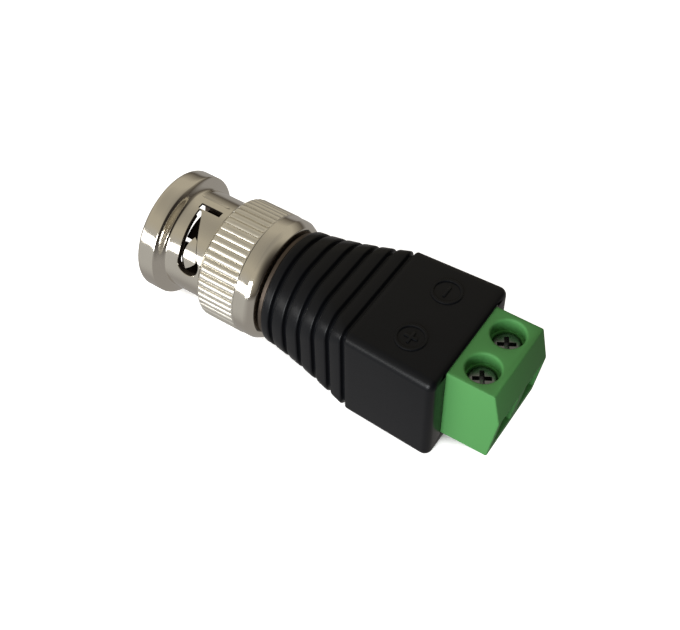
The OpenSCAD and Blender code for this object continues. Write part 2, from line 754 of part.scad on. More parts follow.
module solder_lug() {
    color(STEEL) union() {
        ring_x(lug_x, lug_x + lug_t, tail_r + seat_gap, lug_r);
        translate([lug_x, -lug_tongue_w / 2, -lug_r])
            cube([lug_tongue_len, lug_tongue_w, lug_t]);
    }
}

// Ring of points round a path's point, square to its direction
function lead_ring(path, k, r) =
    let (m = len(path) - 1,
         d = path[min(k + 1, m)] - path[max(k - 1, 0)],
         t = d / norm(d),
         s = cross([0, 0.3, 1], t),
         u = s / norm(s),
         v = cross(t, u))
    [for (i = [0:7]) path[k] + r * cos(45 * i) * u + r * sin(45 * i) * v];

// Strand along the whole path, with a sleeve between two of its points
module lead(path, from, to) {
    last = len(path) - 1;
    skin([for (k = [0:from]) lead_ring(path, k, strand_r),
          for (k = [from:to]) lead_ring(path, k, sheath_r),
          for (k = [to:last]) lead_ring(path, k, strand_r)]);
}

tail_tip_x = term_x - bar_tail_len;
strand_z = bar_z + bar_t + strand_r + seat_gap;

module centre_lead() {
    y = -pole_pitch / 2;
    start = pin_back - cup_depth + 0.2;
    path = [[start, 0, 0], [pin_back + 0.5, 0, 0], [pin_back + 1.4, -0.1, 0.2], [pin_back + 2.6, -0.6, 0.8],
            [pin_back + 3.8, -1.5, 1.0], [pin_back + 5.0, y + 0.2, 0.7],
            [tail_tip_x - 1.4, y, strand_z + 0.2], [tail_tip_x - 0.5, y, strand_z],
            [tail_tip_x + 1.5, y, strand_z]];
    color("firebrick") lead(path, 2, 6);
}

module shield_lead() {
    y = pole_pitch / 2;
    z = -lug_r + lug_t + strand_r + seat_gap;
    start = lug_x + lug_t + 0.5;
    path = [[start, 0, z], [start + 1.6, 0.1, z], [start + 2.6, 0.5, z + 0.5], [start + 4.0, 1.3, z + 1.4],
            [start + 5.2, y - 0.3, z + 2.2], [tail_tip_x - 1.4, y, strand_z - 0.1],
            [tail_tip_x - 0.5, y, strand_z], [tail_tip_x + 1.5, y, strand_z]];
    color("dimgray") lead(path, 2, 5);
}

coupling_nut();
plug_body();
shoulder_bush();
outer_contact();
centre_pin();
front_insulator();
rear_insulator();
sealing_gasket();
wave_washer();
thrust_washer();
retaining_ring();
grip_housing();
terminal_housing();
clamp_screw(1);  // clamp_screw_1
clamp_screw(2);  // clamp_screw_2
clamp_cage(1);  // clamp_cage_1
clamp_cage(2);  // clamp_cage_2
contact_bar(1);  // contact_bar_1
contact_bar(2);  // contact_bar_2
solder_lug();
centre_lead();
shield_lead();
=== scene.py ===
import logging
import math
from dataclasses import dataclass
from enum import Enum
from typing import Callable, Sequence

import bmesh
import bpy
from mathutils import Matrix, Vector
from mathutils.kdtree import KDTree


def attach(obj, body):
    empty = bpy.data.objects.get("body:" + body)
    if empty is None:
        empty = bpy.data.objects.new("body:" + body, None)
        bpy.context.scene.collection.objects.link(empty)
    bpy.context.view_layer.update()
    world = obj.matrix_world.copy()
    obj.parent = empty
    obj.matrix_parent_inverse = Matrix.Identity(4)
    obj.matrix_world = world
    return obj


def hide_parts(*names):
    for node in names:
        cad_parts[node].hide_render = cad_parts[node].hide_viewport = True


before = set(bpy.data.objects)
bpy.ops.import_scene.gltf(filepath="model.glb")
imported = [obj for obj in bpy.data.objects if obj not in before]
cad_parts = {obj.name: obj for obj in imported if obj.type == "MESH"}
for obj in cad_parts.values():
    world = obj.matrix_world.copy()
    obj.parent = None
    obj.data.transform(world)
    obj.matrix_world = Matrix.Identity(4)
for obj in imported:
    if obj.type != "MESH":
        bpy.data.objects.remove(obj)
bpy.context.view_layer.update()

log = logging.getLogger("adapter")

MM = 0.001
Point = tuple[float, float, float]
Station = tuple[float, float]
Ring = list[Point]
Colour = tuple[float, float, float]


class Pole(Enum):
    """The two clamps of the terminal block, by the side that they stand on."""

    PLUS = -1
    MINUS = 1

    @property
    def number(self) -> int:
        """Number of the clamp in the names of the frame's nodes."""
        return 1 if self is Pole.PLUS else 2


class Axis(Enum):
    """Direction in which a turned piece is laid."""

    ALONG = "X"
    UPRIGHT = "Z"


# Bench tools


def clear_bench() -> None:
    """Leaves edit mode and deselects everything."""
    if bpy.context.object is not None and bpy.context.object.mode != "OBJECT":
        bpy.ops.object.mode_set(mode="OBJECT")
    bpy.ops.object.select_all(action="DESELECT")


def take(obj: bpy.types.Object) -> None:
    """Makes a piece the only one selected, and the active one.

    Args:
        obj: The piece.
    """
    clear_bench()
    obj.select_set(True)
    bpy.context.view_layer.objects.active = obj


def arc(cx: float, cr: float, radius: float, start: float, end: float, steps: int) -> list[Station]:
    """Points of an arc in a profile of (place along the axis, radius).

    Args:
        cx: Place of the arc's centre along the axis.
        cr: Distance of the centre from the axis.
        radius: Radius of the arc.
        start: First angle in degrees, from the axis outwards.
        end: Last angle in degrees.
        steps: Number of straight steps.

    Returns:
        The points, the first and the last one included.
    """
    points = []
    for i in range(steps + 1):
        a = math.radians(start + (end - start) * i / steps)
        points.append((cx + radius * math.cos(a), cr + radius * math.sin(a)))
    return points


def evenly(x0: float, x1: float, steps: int, radius: float) -> list[Station]:
    """Stations at equal distances on a straight stretch of a profile, its two ends left out."""
    return [(x0 + (x1 - x0) * i / steps, radius) for i in range(1, steps)]


def around(x: float, radius: float, angle: float) -> Point:
    """Gives the point at a distance from the X axis and an angle in radians from +Y towards +Z."""
    return (x, radius * math.cos(angle), radius * math.sin(angle))


def turned(name: str, stations: Sequence[Station], steps: int, closed: bool = True) -> bpy.types.Object:
    """Extrudes a profile point by point and spins it round the X axis.

    Args:
        name: Name of the new piece.
        stations: Profile as (place along the axis, radius), in millimetres.
        steps: Steps of the full turn.
        closed: True where the profile's last point joins its first one.

    Returns:
        The turned piece, closed and with its faces outwards.
    """
    clear_bench()
    bpy.ops.mesh.primitive_plane_add(size=1.0)
    obj = bpy.context.object
    obj.name = name
    bpy.ops.object.mode_set(mode="EDIT")
    bpy.ops.mesh.select_all(action="SELECT")
    bpy.ops.mesh.merge(type="CENTER")
    bpy.ops.transform.translate(value=(stations[0][0], 0.0, stations[0][1]))
    for (xa, ra), (xb, rb) in zip(stations, stations[1:]):
        bpy.ops.mesh.extrude_vertices_move(TRANSFORM_OT_translate={"value": (xb - xa, 0.0, rb - ra)})
    if closed:
        mesh = bmesh.from_edit_mesh(obj.data)
        ends = [v for v in mesh.verts if len(v.link_edges) == 1]
        for v in mesh.verts:
            v.select = v in ends
        mesh.select_flush_mode()
        bmesh.update_edit_mesh(obj.data)
        bpy.ops.mesh.edge_face_add()
    bpy.ops.mesh.select_all(action="SELECT")
    bpy.ops.mesh.spin(steps=steps, angle=2.0 * math.pi, center=(0.0, 0.0, 0.0), axis=(1.0, 0.0, 0.0))
    bpy.ops.mesh.select_all(action="SELECT")
    bpy.ops.mesh.remove_doubles(threshold=0.0004)
    bpy.ops.mesh.normals_make_consistent(inside=False)
    bpy.ops.object.mode_set(mode="OBJECT")
    return obj


def finder(points: Sequence[Point]) -> KDTree:
    """Gives a search tree that finds the number of the nearest of some points."""
    tree = KDTree(len(points))
    for i, point in enumerate(points):
        tree.insert(point, i)
    tree.balance()
    return tree


def lofted(name: str, rings: Sequence[Ring], joined: bool = False) -> bpy.types.Object:
    """Extrudes a ring of points from section to section.

    Args:
        name: Name of the new piece.
        rings: Sections with the same number of points, in millimetres.
        joined: True where the last section joins the first one, and False where both are filled.

    Returns:
        The piece, closed and with its faces outwards.
    """
    clear_bench()
    bpy.ops.mesh.primitive_circle_add(vertices=len(rings[0]), radius=1.0)
    obj = bpy.context.object
    obj.name = name
    bpy.ops.object.mode_set(mode="EDIT")
    mesh = bmesh.from_edit_mesh(obj.data)
    mesh.verts.ensure_lookup_table()
    for vert, point in zip(mesh.verts, rings[0]):
        vert.co = point
    bmesh.update_edit_mesh(obj.data)
    bpy.ops.mesh.select_all(action="SELECT")
    if not joined:
        bpy.ops.mesh.edge_face_add()
    sections = list(rings[1:]) + ([rings[0]] if joined else [])
    last = rings[0]
    for section in sections:
        bpy.ops.mesh.extrude_region_move(TRANSFORM_OT_translate={"value": (0.0, 0.0, 0.0)})
        mesh = bmesh.from_edit_mesh(obj.data)
        nearest = finder(last)
        for vert in mesh.verts:
            if vert.select:
                vert.co = section[nearest.find(vert.co)[1]]
        bmesh.update_edit_mesh(obj.data)
        last = section
    bpy.ops.mesh.select_all(action="SELECT")
    bpy.ops.mesh.remove_doubles(threshold=0.0004)
    bpy.ops.mesh.normals_make_consistent(inside=False)
    bpy.ops.object.mode_set(mode="OBJECT")
    return obj


def box(name: str, low: Point, high: Point) -> bpy.types.Object:
    """Adds a cube and scales it between two corners.

    Args:
        name: Name of the new piece.
        low: Lowest corner.
        high: Highest corner.

    Returns:
        The box, its place in its mesh.
    """
    clear_bench()
    bpy.ops.mesh.primitive_cube_add(size=1.0)
    obj = bpy.context.object
    obj.name = name
    bpy.ops.object.mode_set(mode="EDIT")
    bpy.ops.mesh.select_all(action="SELECT")
    bpy.ops.transform.resize(value=tuple(b - a for a, b in zip(low, high)))
    bpy.ops.transform.translate(value=tuple((a + b) / 2.0 for a, b in zip(low, high)))
    bpy.ops.object.mode_set(mode="OBJECT")
    return obj


def apply_modifier(obj: bpy.types.Object, kind: str, **settings: object) -> None:
    """Adds a modifier to a piece and applies it.

    Args:
        obj: The piece.
        kind: Blender's name of the modifier.
        settings: Values for its properties.
    """
    take(obj)
    modifier = obj.modifiers.new(kind.lower(), kind)
    for setting, value in settings.items():
        setattr(modifier, setting, value)
    bpy.ops.object.modifier_apply(modifier=modifier.name)


def carve(obj: bpy.types.Object, cutter: bpy.types.Object) -> None:
    """Cuts one piece out of another, and throws the cutter away.

    Args:
        obj: The piece that is cut.
        cutter: The piece that cuts it.
    """
    apply_modifier(obj, "BOOLEAN", operation="DIFFERENCE", solver="EXACT", object=cutter)
    bpy.data.objects.remove(cutter)


def rounded_edges(obj: bpy.types.Object, width: float, segments: int = 3, angle: float = 30.0) -> None:
    """Bevels the sharp edges of a piece.

    Args:
        obj: The piece.
        width: Width of the bevel in millimetres.
        segments: Steps across the bevel.
        angle: Smallest angle of an edge that is bevelled, in degrees.
    """
    apply_modifier(
        obj, "BEVEL", width=width, segments=segments, limit_method="ANGLE", angle_limit=math.radians(angle)
    )


def lay(obj: bpy.types.Object, axis: Axis, at: Point = (0.0, 0.0, 0.0)) -> bpy.types.Object:
    """Turns a piece made along X to its axis and moves it, all in its mesh.

    Args:
        obj: The piece.
        axis: Direction of the piece's own axis.
        at: Where its origin goes, in millimetres.

    Returns:
        The same piece.
    """
    turn = Matrix.Rotation(math.radians(-90.0), 4, "Y") if axis is Axis.UPRIGHT else Matrix.Identity(4)
    obj.data.transform(Matrix.Translation(at) @ turn)
    return obj


def join(name: str, pieces: Sequence[bpy.types.Object]) -> bpy.types.Object:
    """Joins several pieces into the first one.

    Args:
        name: Name of the joined piece.
        pieces: The pieces, the first of which is kept.

    Returns:
        The joined piece.
    """
    take(pieces[0])
    for piece in pieces[1:]:
        piece.select_set(True)
    bpy.ops.object.join()
    pieces[0].name = name
    return pieces[0]


def reshape(obj: bpy.types.Object, move: Callable[[Vector], Vector]) -> None:
    """Moves every point of a piece by a rule.

    Args:
        obj: The piece.
        move: The rule, from a point's old place to its new one.
    """
    for vert in obj.data.vertices:
        vert.co = move(vert.co)
    obj.data.update()


def finish_piece(
    obj: bpy.types.Object, finish: "Finish", body: str, nodes: Sequence[str], smooth: float = 32.0
) -> bpy.types.Object:
    """Brings a piece from millimetres to metres, smooths it, dresses it and hands it to the frame.

    Args:
        obj: The piece, made in millimetres about the frame's origin.
        finish: Its finish.
        body: The body that it rides on.
        nodes: The frame's nodes that it stands for.
        smooth: Largest angle between faces that still shades smooth, in degrees.

    Returns:
        The same piece.
    """
    take(obj)
    obj.scale = (MM, MM, MM)
    bpy.ops.object.transform_apply(location=True, rotation=True, scale=True)
    bpy.ops.object.shade_smooth_by_angle(angle=math.radians(smooth))
    finish.dress(obj)
    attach(obj, body)
    for node in nodes:
        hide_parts(node)
    log.info("%s: %d faces on %s", obj.name, len(obj.data.polygons), body)
    return obj


def preset(node: bpy.types.Node, **values: object) -> None:
    """Sets sockets of a node, whose names are written with _ for a space."""
    for socket, value in values.items():
        node.inputs[socket.replace("_", " ")].default_value = value


# Finishes


@dataclass(frozen=True)
class Finish:
    """A surface with a colour, a gloss that varies a little, and a fine relief."""

    name: str
    slot: str
    colour: Colour
    second: Colour
    metallic: float = 0.0
    rough: tuple[float, float] = (0.3, 0.4)
    grain: float = 1200.0
    patch: float = 260.0
    relief: float = 0.05
    relief_depth: float = 0.02 * MM
    specular: float = 0.5

    def material(self) -> bpy.types.Material:
        """Builds the material, or finds it where it was built before.

        Returns:
            The material.
        """
        found = bpy.data.materials.get(self.name)
        if found is not None:
            return found
        mat = bpy.data.materials.new(self.name)
        mat.use_nodes = True
        nodes, links = mat.node_tree.nodes, mat.node_tree.links
        shader = nodes["Principled BSDF"]
        preset(shader, Metallic=self.metallic, Specular_IOR_Level=self.specular)
        place = nodes.new("ShaderNodeTexCoord")
        patches = nodes.new("ShaderNodeTexNoise")
        preset(patches, Scale=self.patch, Detail=4.0)
        links.new(place.outputs["Object"], patches.inputs["Vector"])
        grain = nodes.new("ShaderNodeTexNoise")
        preset(grain, Scale=self.grain, Detail=6.0)
        links.new(place.outputs["Object"], grain.inputs["Vector"])
        tint = nodes.new("ShaderNodeMix")
        tint.data_type = "RGBA"
        preset(tint, A=(*self.colour, 1.0), B=(*self.second, 1.0))
        links.new(patches.outputs["Fac"], tint.inputs["Factor"])
        links.new(tint.outputs["Result"], shader.inputs["Base Color"])
        gloss = nodes.new("ShaderNodeMapRange")
        preset(gloss, From_Min=0.3, From_Max=0.7, To_Min=self.rough[0], To_Max=self.rough[1])
        links.new(grain.outputs["Fac"], gloss.inputs["Value"])
        links.new(gloss.outputs["Result"], shader.inputs["Roughness"])
        if self.relief > 0.0:
            bump = nodes.new("ShaderNodeBump")
            preset(bump, Strength=self.relief, Distance=self.relief_depth)
            links.new(grain.outputs["Fac"], bump.inputs["Height"])
            links.new(bump.outputs["Normal"], shader.inputs["Normal"])
        return mat

    def dress(self, obj: bpy.types.Object) -> None:
        """Puts the material on a piece.

        Args:
            obj: The piece.
        """
        obj.data.materials.clear()
        obj.data.materials.append(self.material())


NICKEL = Finish(
    "bright_nickel", "nickel", (0.74, 0.7, 0.62), (0.8, 0.765, 0.69), metallic=1.0, rough=(0.07, 0.12),
    grain=900.0, patch=150.0, relief=0.03, relief_depth=0.006 * MM,
)
# Painted shade: a dark copy of the nickel for the nut's inner and slot walls and the shoulder bush, which lie
# in shade.
BORE_PAINTED_SHADE = Finish(
    "dull_bore_nickel", "nickel", (0.1, 0.08, 0.066), (0.13, 0.105, 0.088), metallic=1.0, rough=(0.4, 0.55),
    grain=1400.0, patch=300.0, relief=0.1, relief_depth=0.01 * MM,
)
# Painted highlight: a lighter copy of the nut's nickel for the fluted band, so that its ridges read whiter.
FLUTED = Finish(
    "fluted_nickel", "nickel", (0.84, 0.81, 0.73), (0.88, 0.85, 0.78), metallic=1.0, rough=(0.26, 0.34),
    grain=1100.0, patch=150.0, relief=0.04, relief_depth=0.006 * MM,
)
# Painted shade: a dark copy of the smooth nickel for the outer contact sleeve, which lies in shade inside the
# nut.
SLEEVE_PAINTED_SHADE = Finish(
    "smooth_dark_nickel", "nickel", (0.1, 0.09, 0.08), (0.12, 0.108, 0.095), metallic=1.0, rough=(0.16, 0.22),
    grain=1200.0, patch=200.0, relief=0.03, relief_depth=0.006 * MM,
)
GOLD = Finish(
    "gold_flash", "gold_brass", (0.82, 0.56, 0.22), (0.9, 0.66, 0.32), metallic=1.0, rough=(0.14, 0.24),
    grain=1500.0, patch=400.0,
)
SPRING = Finish(
    "spring_strip", "spring_steel", (0.42, 0.41, 0.39), (0.5, 0.49, 0.47), metallic=1.0, rough=(0.25, 0.4),
    grain=1800.0, patch=500.0,
)
ZINC = Finish(
    "zinc_plate", "zinc_steel", (0.2, 0.205, 0.215), (0.27, 0.275, 0.285), metallic=1.0, rough=(0.22, 0.36),
    grain=2500.0, patch=700.0, relief=0.15, relief_depth=0.01 * MM,
)
TIN = Finish(
    "tin_plate", "tinned_brass", (0.66, 0.66, 0.64), (0.74, 0.73, 0.7), metallic=1.0, rough=(0.28, 0.42),
    grain=2200.0, patch=600.0,
)
BLACK = Finish(
    "black_satin_moulding", "black_moulding", (0.0048, 0.0052, 0.0066), (0.0062, 0.0068, 0.0086),
    rough=(0.28, 0.36), grain=4200.0, patch=300.0, relief=0.35, relief_depth=0.012 * MM, specular=0.18,
)
GREEN = Finish(
    "green_moulding", "green_moulding", (0.14, 0.44, 0.165), (0.16, 0.475, 0.19), rough=(0.4, 0.5),
    grain=3600.0, patch=350.0, relief=0.2, relief_depth=0.01 * MM, specular=0.45,
)
WHITE = Finish(
    "white_bead", "white_bead", (0.8, 0.8, 0.77), (0.85, 0.85, 0.82), rough=(0.35, 0.45), grain=1500.0,
    patch=300.0,
)
RUBBER = Finish(
    "gasket_rubber", "gasket_rubber", (0.36, 0.075, 0.05), (0.42, 0.09, 0.06), rough=(0.6, 0.75),
    grain=3000.0, patch=500.0, relief=0.2,
)
RED = Finish(
    "red_lead_sleeve", "red_sleeve", (0.42, 0.02, 0.015), (0.5, 0.03, 0.02), rough=(0.35, 0.45), grain=2500.0,
    patch=500.0,
)
GREY = Finish(
    "grey_lead_sleeve", "grey_sleeve", (0.05, 0.05, 0.052), (0.07, 0.07, 0.072), rough=(0.35, 0.45),
    grain=2500.0, patch=500.0,
)


# Sub-assemblies


@dataclass
class CouplingNut:
    """The bayonet nut: rim, waist with two cam slots, fluted band and collar. Sizes in millimetres."""

    bore_r: float = 4.95
    bore_len: float = 3.0
    relief_r: float = 5.2
    band_space_r: float = 5.6
    lip_r: float = 4.4
    ring_space_r: float = 5.4
    lip_x: float = 12.19
    lip_back: float = 13.74
    rim_r: float = 7.1
    rim_len: float = 2.1
    step_len: float = 0.95
    waist_r: float = 5.87
    band_x: float = 8.1
    band_bevel: float = 0.45
    collar_x: float = 13.15
    collar_r: float = 7.04
    tail_x: float = 14.5
    nut_len: float = 15.5
    tail_r: float = 6.49
    flutes: int = 50
    flute_depth: float = 0.27
    ridge_r: float = 0.62
    inside_r: float = 5.75
    flute_places: tuple[float, ...] = (0.0, 0.09, 0.2, 0.36, 0.54, 0.76, 1.0, 1.24, 1.46, 1.64, 1.8, 1.91)
    keyway_r: float = 5.58
    keyway_in_r: float = 4.3
    keyway_w: float = 2.4
    slot_start: float = 95.0
    slot_catch: float = 157.0
    slot_front_x: float = 4.3
    slot_start_w: float = 0.2
    catch_x: float = 6.0
    catch_r: float = 1.38
    leg_from: float = 86.5
    leg_to: float = 94.0
    leg_front_x: float = 4.05
    leg_back_x: float = 6.9
    scribe_at: float = 76.0
    scribe_w: float = 0.5
    scribe_depth: float = 0.13

    def outline(self) -> list[Station]:
        """Gives the nut's whole profile, outside and inside, as one closed loop.

        Returns:
            Stations of (place along the axis, radius).
        """
        waist_x = self.rim_len + self.step_len
        outer: list[Station] = [(0.0, self.bore_r + 0.12)]
        outer += arc(0.35, self.rim_r - 0.35, 0.35, 180.0, 90.0, 6)
        outer += evenly(0.35, self.rim_len, 4, self.rim_r)
        for i in range(21):
            drop = 0.5 + 0.5 * math.cos(math.pi * i / 20)
            radius = self.waist_r + (self.rim_r - self.waist_r) * drop
            outer.append((self.rim_len + self.step_len * i / 20, radius))
        outer += evenly(waist_x, self.band_x - 0.12, 12, self.waist_r)
        outer += [(self.band_x - 0.12, self.waist_r), (self.band_x - 0.03, self.waist_r + 0.03)]
        outer += [(self.band_x, self.waist_r + 0.12), (self.band_x, self.rim_r - self.band_bevel)]
        for t in (0.33, 0.66, 0.9):
            outer.append((self.band_x + self.band_bevel * t, self.rim_r - self.band_bevel * (1.0 - t)))
        outer += [(self.band_x + self.band_bevel + 0.05, self.rim_r)]
        outer += evenly(self.band_x + 0.5, self.collar_x - 0.4, 5, self.rim_r)
        outer += [(self.collar_x - d, self.rim_r) for d in (0.4, 0.3, 0.2, 0.12, 0.06)]
        outer += [(self.collar_x, self.collar_r), (self.collar_x + 0.6, self.collar_r)]
        outer += [(self.tail_x - 0.1, self.collar_r), (self.tail_x + 0.06, self.collar_r - 0.02)]
        outer += [(self.tail_x + 0.5, self.collar_r - 0.24), (self.nut_len - 0.12, self.tail_r + 0.08)]
        outer += [(self.nut_len - 0.03, self.tail_r), (self.nut_len, self.tail_r - 0.1)]
        inner = [(self.nut_len, self.ring_space_r + 0.08), (self.nut_len - 0.08, self.ring_space_r)]
        inner += [(self.lip_back, self.ring_space_r), (self.lip_back, self.lip_r), (self.lip_x, self.lip_r)]
        inner += [(self.lip_x, self.band_space_r), (self.band_x + 0.35, self.band_space_r)]
        inner += [(self.band_x + 0.35, self.relief_r)]
        inner += evenly(self.band_x + 0.3, self.bore_len, 5, self.relief_r)
        inner += [(self.bore_len, self.relief_r), (self.bore_len, self.bore_r), (0.12, self.bore_r)]
        return outer + inner

    def flute(self, point: Vector) -> Vector:
        """Presses one point of the spun shell into the flutes.

        Args:
            point: Its place on the plain shell.

        Returns:
            Its place on the fluted one.
        """
        radius = math.hypot(point.y, point.z)
        if radius < self.inside_r:
            return point
        pitch = 2.0 * math.pi / self.flutes
        samples = len(self.flute_places)
        angle = math.atan2(point.z, point.y) % (2.0 * math.pi)
        which, sample = divmod(round(angle / pitch * samples), samples)
        place = self.flute_places[sample]
        angle = (which + place / 2.0) * pitch
        if self.band_x - 0.01 < point.x < self.collar_x - 0.03:
            ease = min(max((self.collar_x - 0.1 - point.x) / 0.16, 0.0), 1.0)
            across = abs(place - 1.0) * pitch / 2.0 * self.rim_r
            drop = self.ridge_r - math.sqrt(self.ridge_r**2 - across**2) if sample else self.flute_depth
            radius = min(radius, self.rim_r - drop * ease)
        return Vector(around(point.x, radius, angle))

    def slot_outline(self, spread: float) -> list[Station]:
        """Gives the outline of a cam slot with its locking hole.

        Args:
            spread: How far the outline stands outside the slot's own edge.

        Returns:
            Points of (place along the axis, angle in degrees).
        """
        reach = 0.94 * self.catch_r
        per_degree = math.pi / 180.0 * self.waist_r
        back_x = self.slot_front_x + self.slot_start_w
        front: list[Station] = []
        back: list[Station] = []
        steps = 26
        for i in range(steps):
            t = i / steps
            a = self.slot_start + (self.slot_catch - self.slot_start) * t
            away = (self.slot_catch - a) * per_degree
            bulge = math.sqrt(max(self.catch_r**2 - away**2, 0.0))
            f = self.slot_front_x + (self.catch_x - reach - self.slot_front_x) * t
            b = back_x + (self.catch_x + reach - back_x) * t**0.75
            if bulge > 0.0:
                f, b = min(f, self.catch_x - bulge), max(b, self.catch_x + bulge)
            front.append((f - spread, a))
            back.append((b + spread, a))
        front[0] = (front[0][0], front[0][1] - spread / per_degree)
        back[0] = (back[0][0], back[0][1] - spread / per_degree)
        hole: list[Station] = []
        for i in range(21):
            turn = math.radians(180.0 - 180.0 * i / 20)
            radius = self.catch_r + spread
            across = radius * math.sin(turn) / per_degree
            hole.append((self.catch_x + radius * math.cos(turn), self.slot_catch + across))
        return front + hole + back[::-1]

    def slot_cutter(self, turn: float) -> bpy.types.Object:
        """Builds the cutter of one cam slot, which flares at the outer edge.

        Args:
            turn: Angle that the slot is turned by, in degrees.

        Returns:
            The cutter.
        """
        rings: list[Ring] = []
        edge = 0.06
        for radius, spread in (
            (self.relief_r - 0.7, 0.0), (self.waist_r - edge, 0.0), (self.waist_r - 0.3 * edge, 0.3 * edge),
            (self.waist_r + 0.02, edge), (self.waist_r + 0.4, 1.5 * edge),
        ):
            rings.append([around(x, radius, math.radians(a + turn)) for x, a in self.slot_outline(spread)])
        return lofted("slot_cutter", rings)

    def leg_cutter(self, turn: float) -> bpy.types.Object:
        """Builds the cutter of the short leg along the axis at a cam slot's start.

        Args:
            turn: Angle that the slot is turned by, in degrees.

        Returns:
            The cutter.
        """
        rings: list[Ring] = []
        for radius in (self.relief_r - 0.3, self.waist_r + 0.3):
            ring: Ring = []
            for x in (self.leg_front_x, self.leg_back_x):
                steps = range(5) if x == self.leg_front_x else range(4, -1, -1)
                for i in steps:
                    a = math.radians(self.leg_from + (self.leg_to - self.leg_from) * i / 4 + turn)
                    ring.append(around(x, radius, a))
            rings.append(ring)
        return lofted("leg_cutter", rings)

    def scribe_cutter(self, turn: float) -> bpy.types.Object:
        """Builds the cutter of the fine line along the axis beside a slot's start.

        Args:
            turn: Angle that the slot is turned by, in degrees.

        Returns:
            The cutter.
        """
        middle = math.radians(self.scribe_at + turn)
        half = self.scribe_w / 2.0 / self.waist_r
        rings: list[Ring] = []
        start = self.rim_len + self.step_len + 0.1
        top = self.waist_r + 0.03
        for x, depth in (
            (start, 0.0), (start + 0.3, self.scribe_depth), (self.leg_back_x - 0.4, self.scribe_depth),
            (self.leg_back_x, 0.0),
        ):
            points = ((self.waist_r - depth, 0.0), (top, half), (top, -half))
            rings.append([around(x, r, middle + a) for r, a in points])
        return lofted("scribe_cutter", rings)

    def keyway_cutter(self, turn: float) -> bpy.types.Object:
        """Builds the cutter of one stud's way in, under the rim.

        Args:
            turn: Angle that the slot is turned by, in degrees.

        Returns:
            The cutter.
        """
        middle = math.radians(self.slot_start - 6.0 + turn)
        half = math.asin(self.keyway_w / 2.0 / self.keyway_r)
        arc_points = [middle - half + 2.0 * half * i / 8 for i in range(9)]
        rings: list[Ring] = []
        for x in (-0.2, self.slot_front_x + 0.8):
            ring = [around(x, self.keyway_r, a) for a in arc_points]
            ring += [around(x, self.keyway_in_r, a) for a in (arc_points[-1], arc_points[0])]
            rings.append(ring)
        return lofted("keyway_cutter", rings)

    def build(self) -> bpy.types.Object:
        """Builds and dresses the nut.

        Returns:
            The nut.
        """
        shell = turned("coupling_nut_shell", self.outline(), self.flutes * len(self.flute_places))
        reshape(shell, self.flute)
        for turn in (0.0, 180.0):
            carve(shell, self.slot_cutter(turn))
            carve(shell, self.keyway_cutter(turn))
            carve(shell, self.leg_cutter(turn))
            carve(shell, self.scribe_cutter(turn))
        finish_piece(shell, NICKEL, "nut", ["coupling_nut"])
        self.dull_inside(shell)
        return shell

    def dull_inside(self, shell: bpy.types.Object) -> None:
        """Paints shade on the nut's inner and slot walls with the dark nickel, and gives the flutes their own
        lighter nickel as a painted highlight.

        Args:
            shell: The finished nut, in metres.
        """
        shell.data.materials.append(BORE_PAINTED_SHADE.material())
        shell.data.materials.append(FLUTED.material())
        for face in shell.data.polygons:
            x = face.center.x / MM
            radius = math.hypot(face.center.y, face.center.z) / MM
            # Inner and slot walls: painted shade.
            if radius < self.waist_r - 0.04 and 0.3 < x < self.nut_len - 0.2:
                face.material_index = 1
            # Fluted band: painted highlight.
            elif self.band_x + 0.02 < x < self.collar_x and radius > self.waist_r + 0.3:
                face.material_index = 2
            else:
                face.material_index = 0


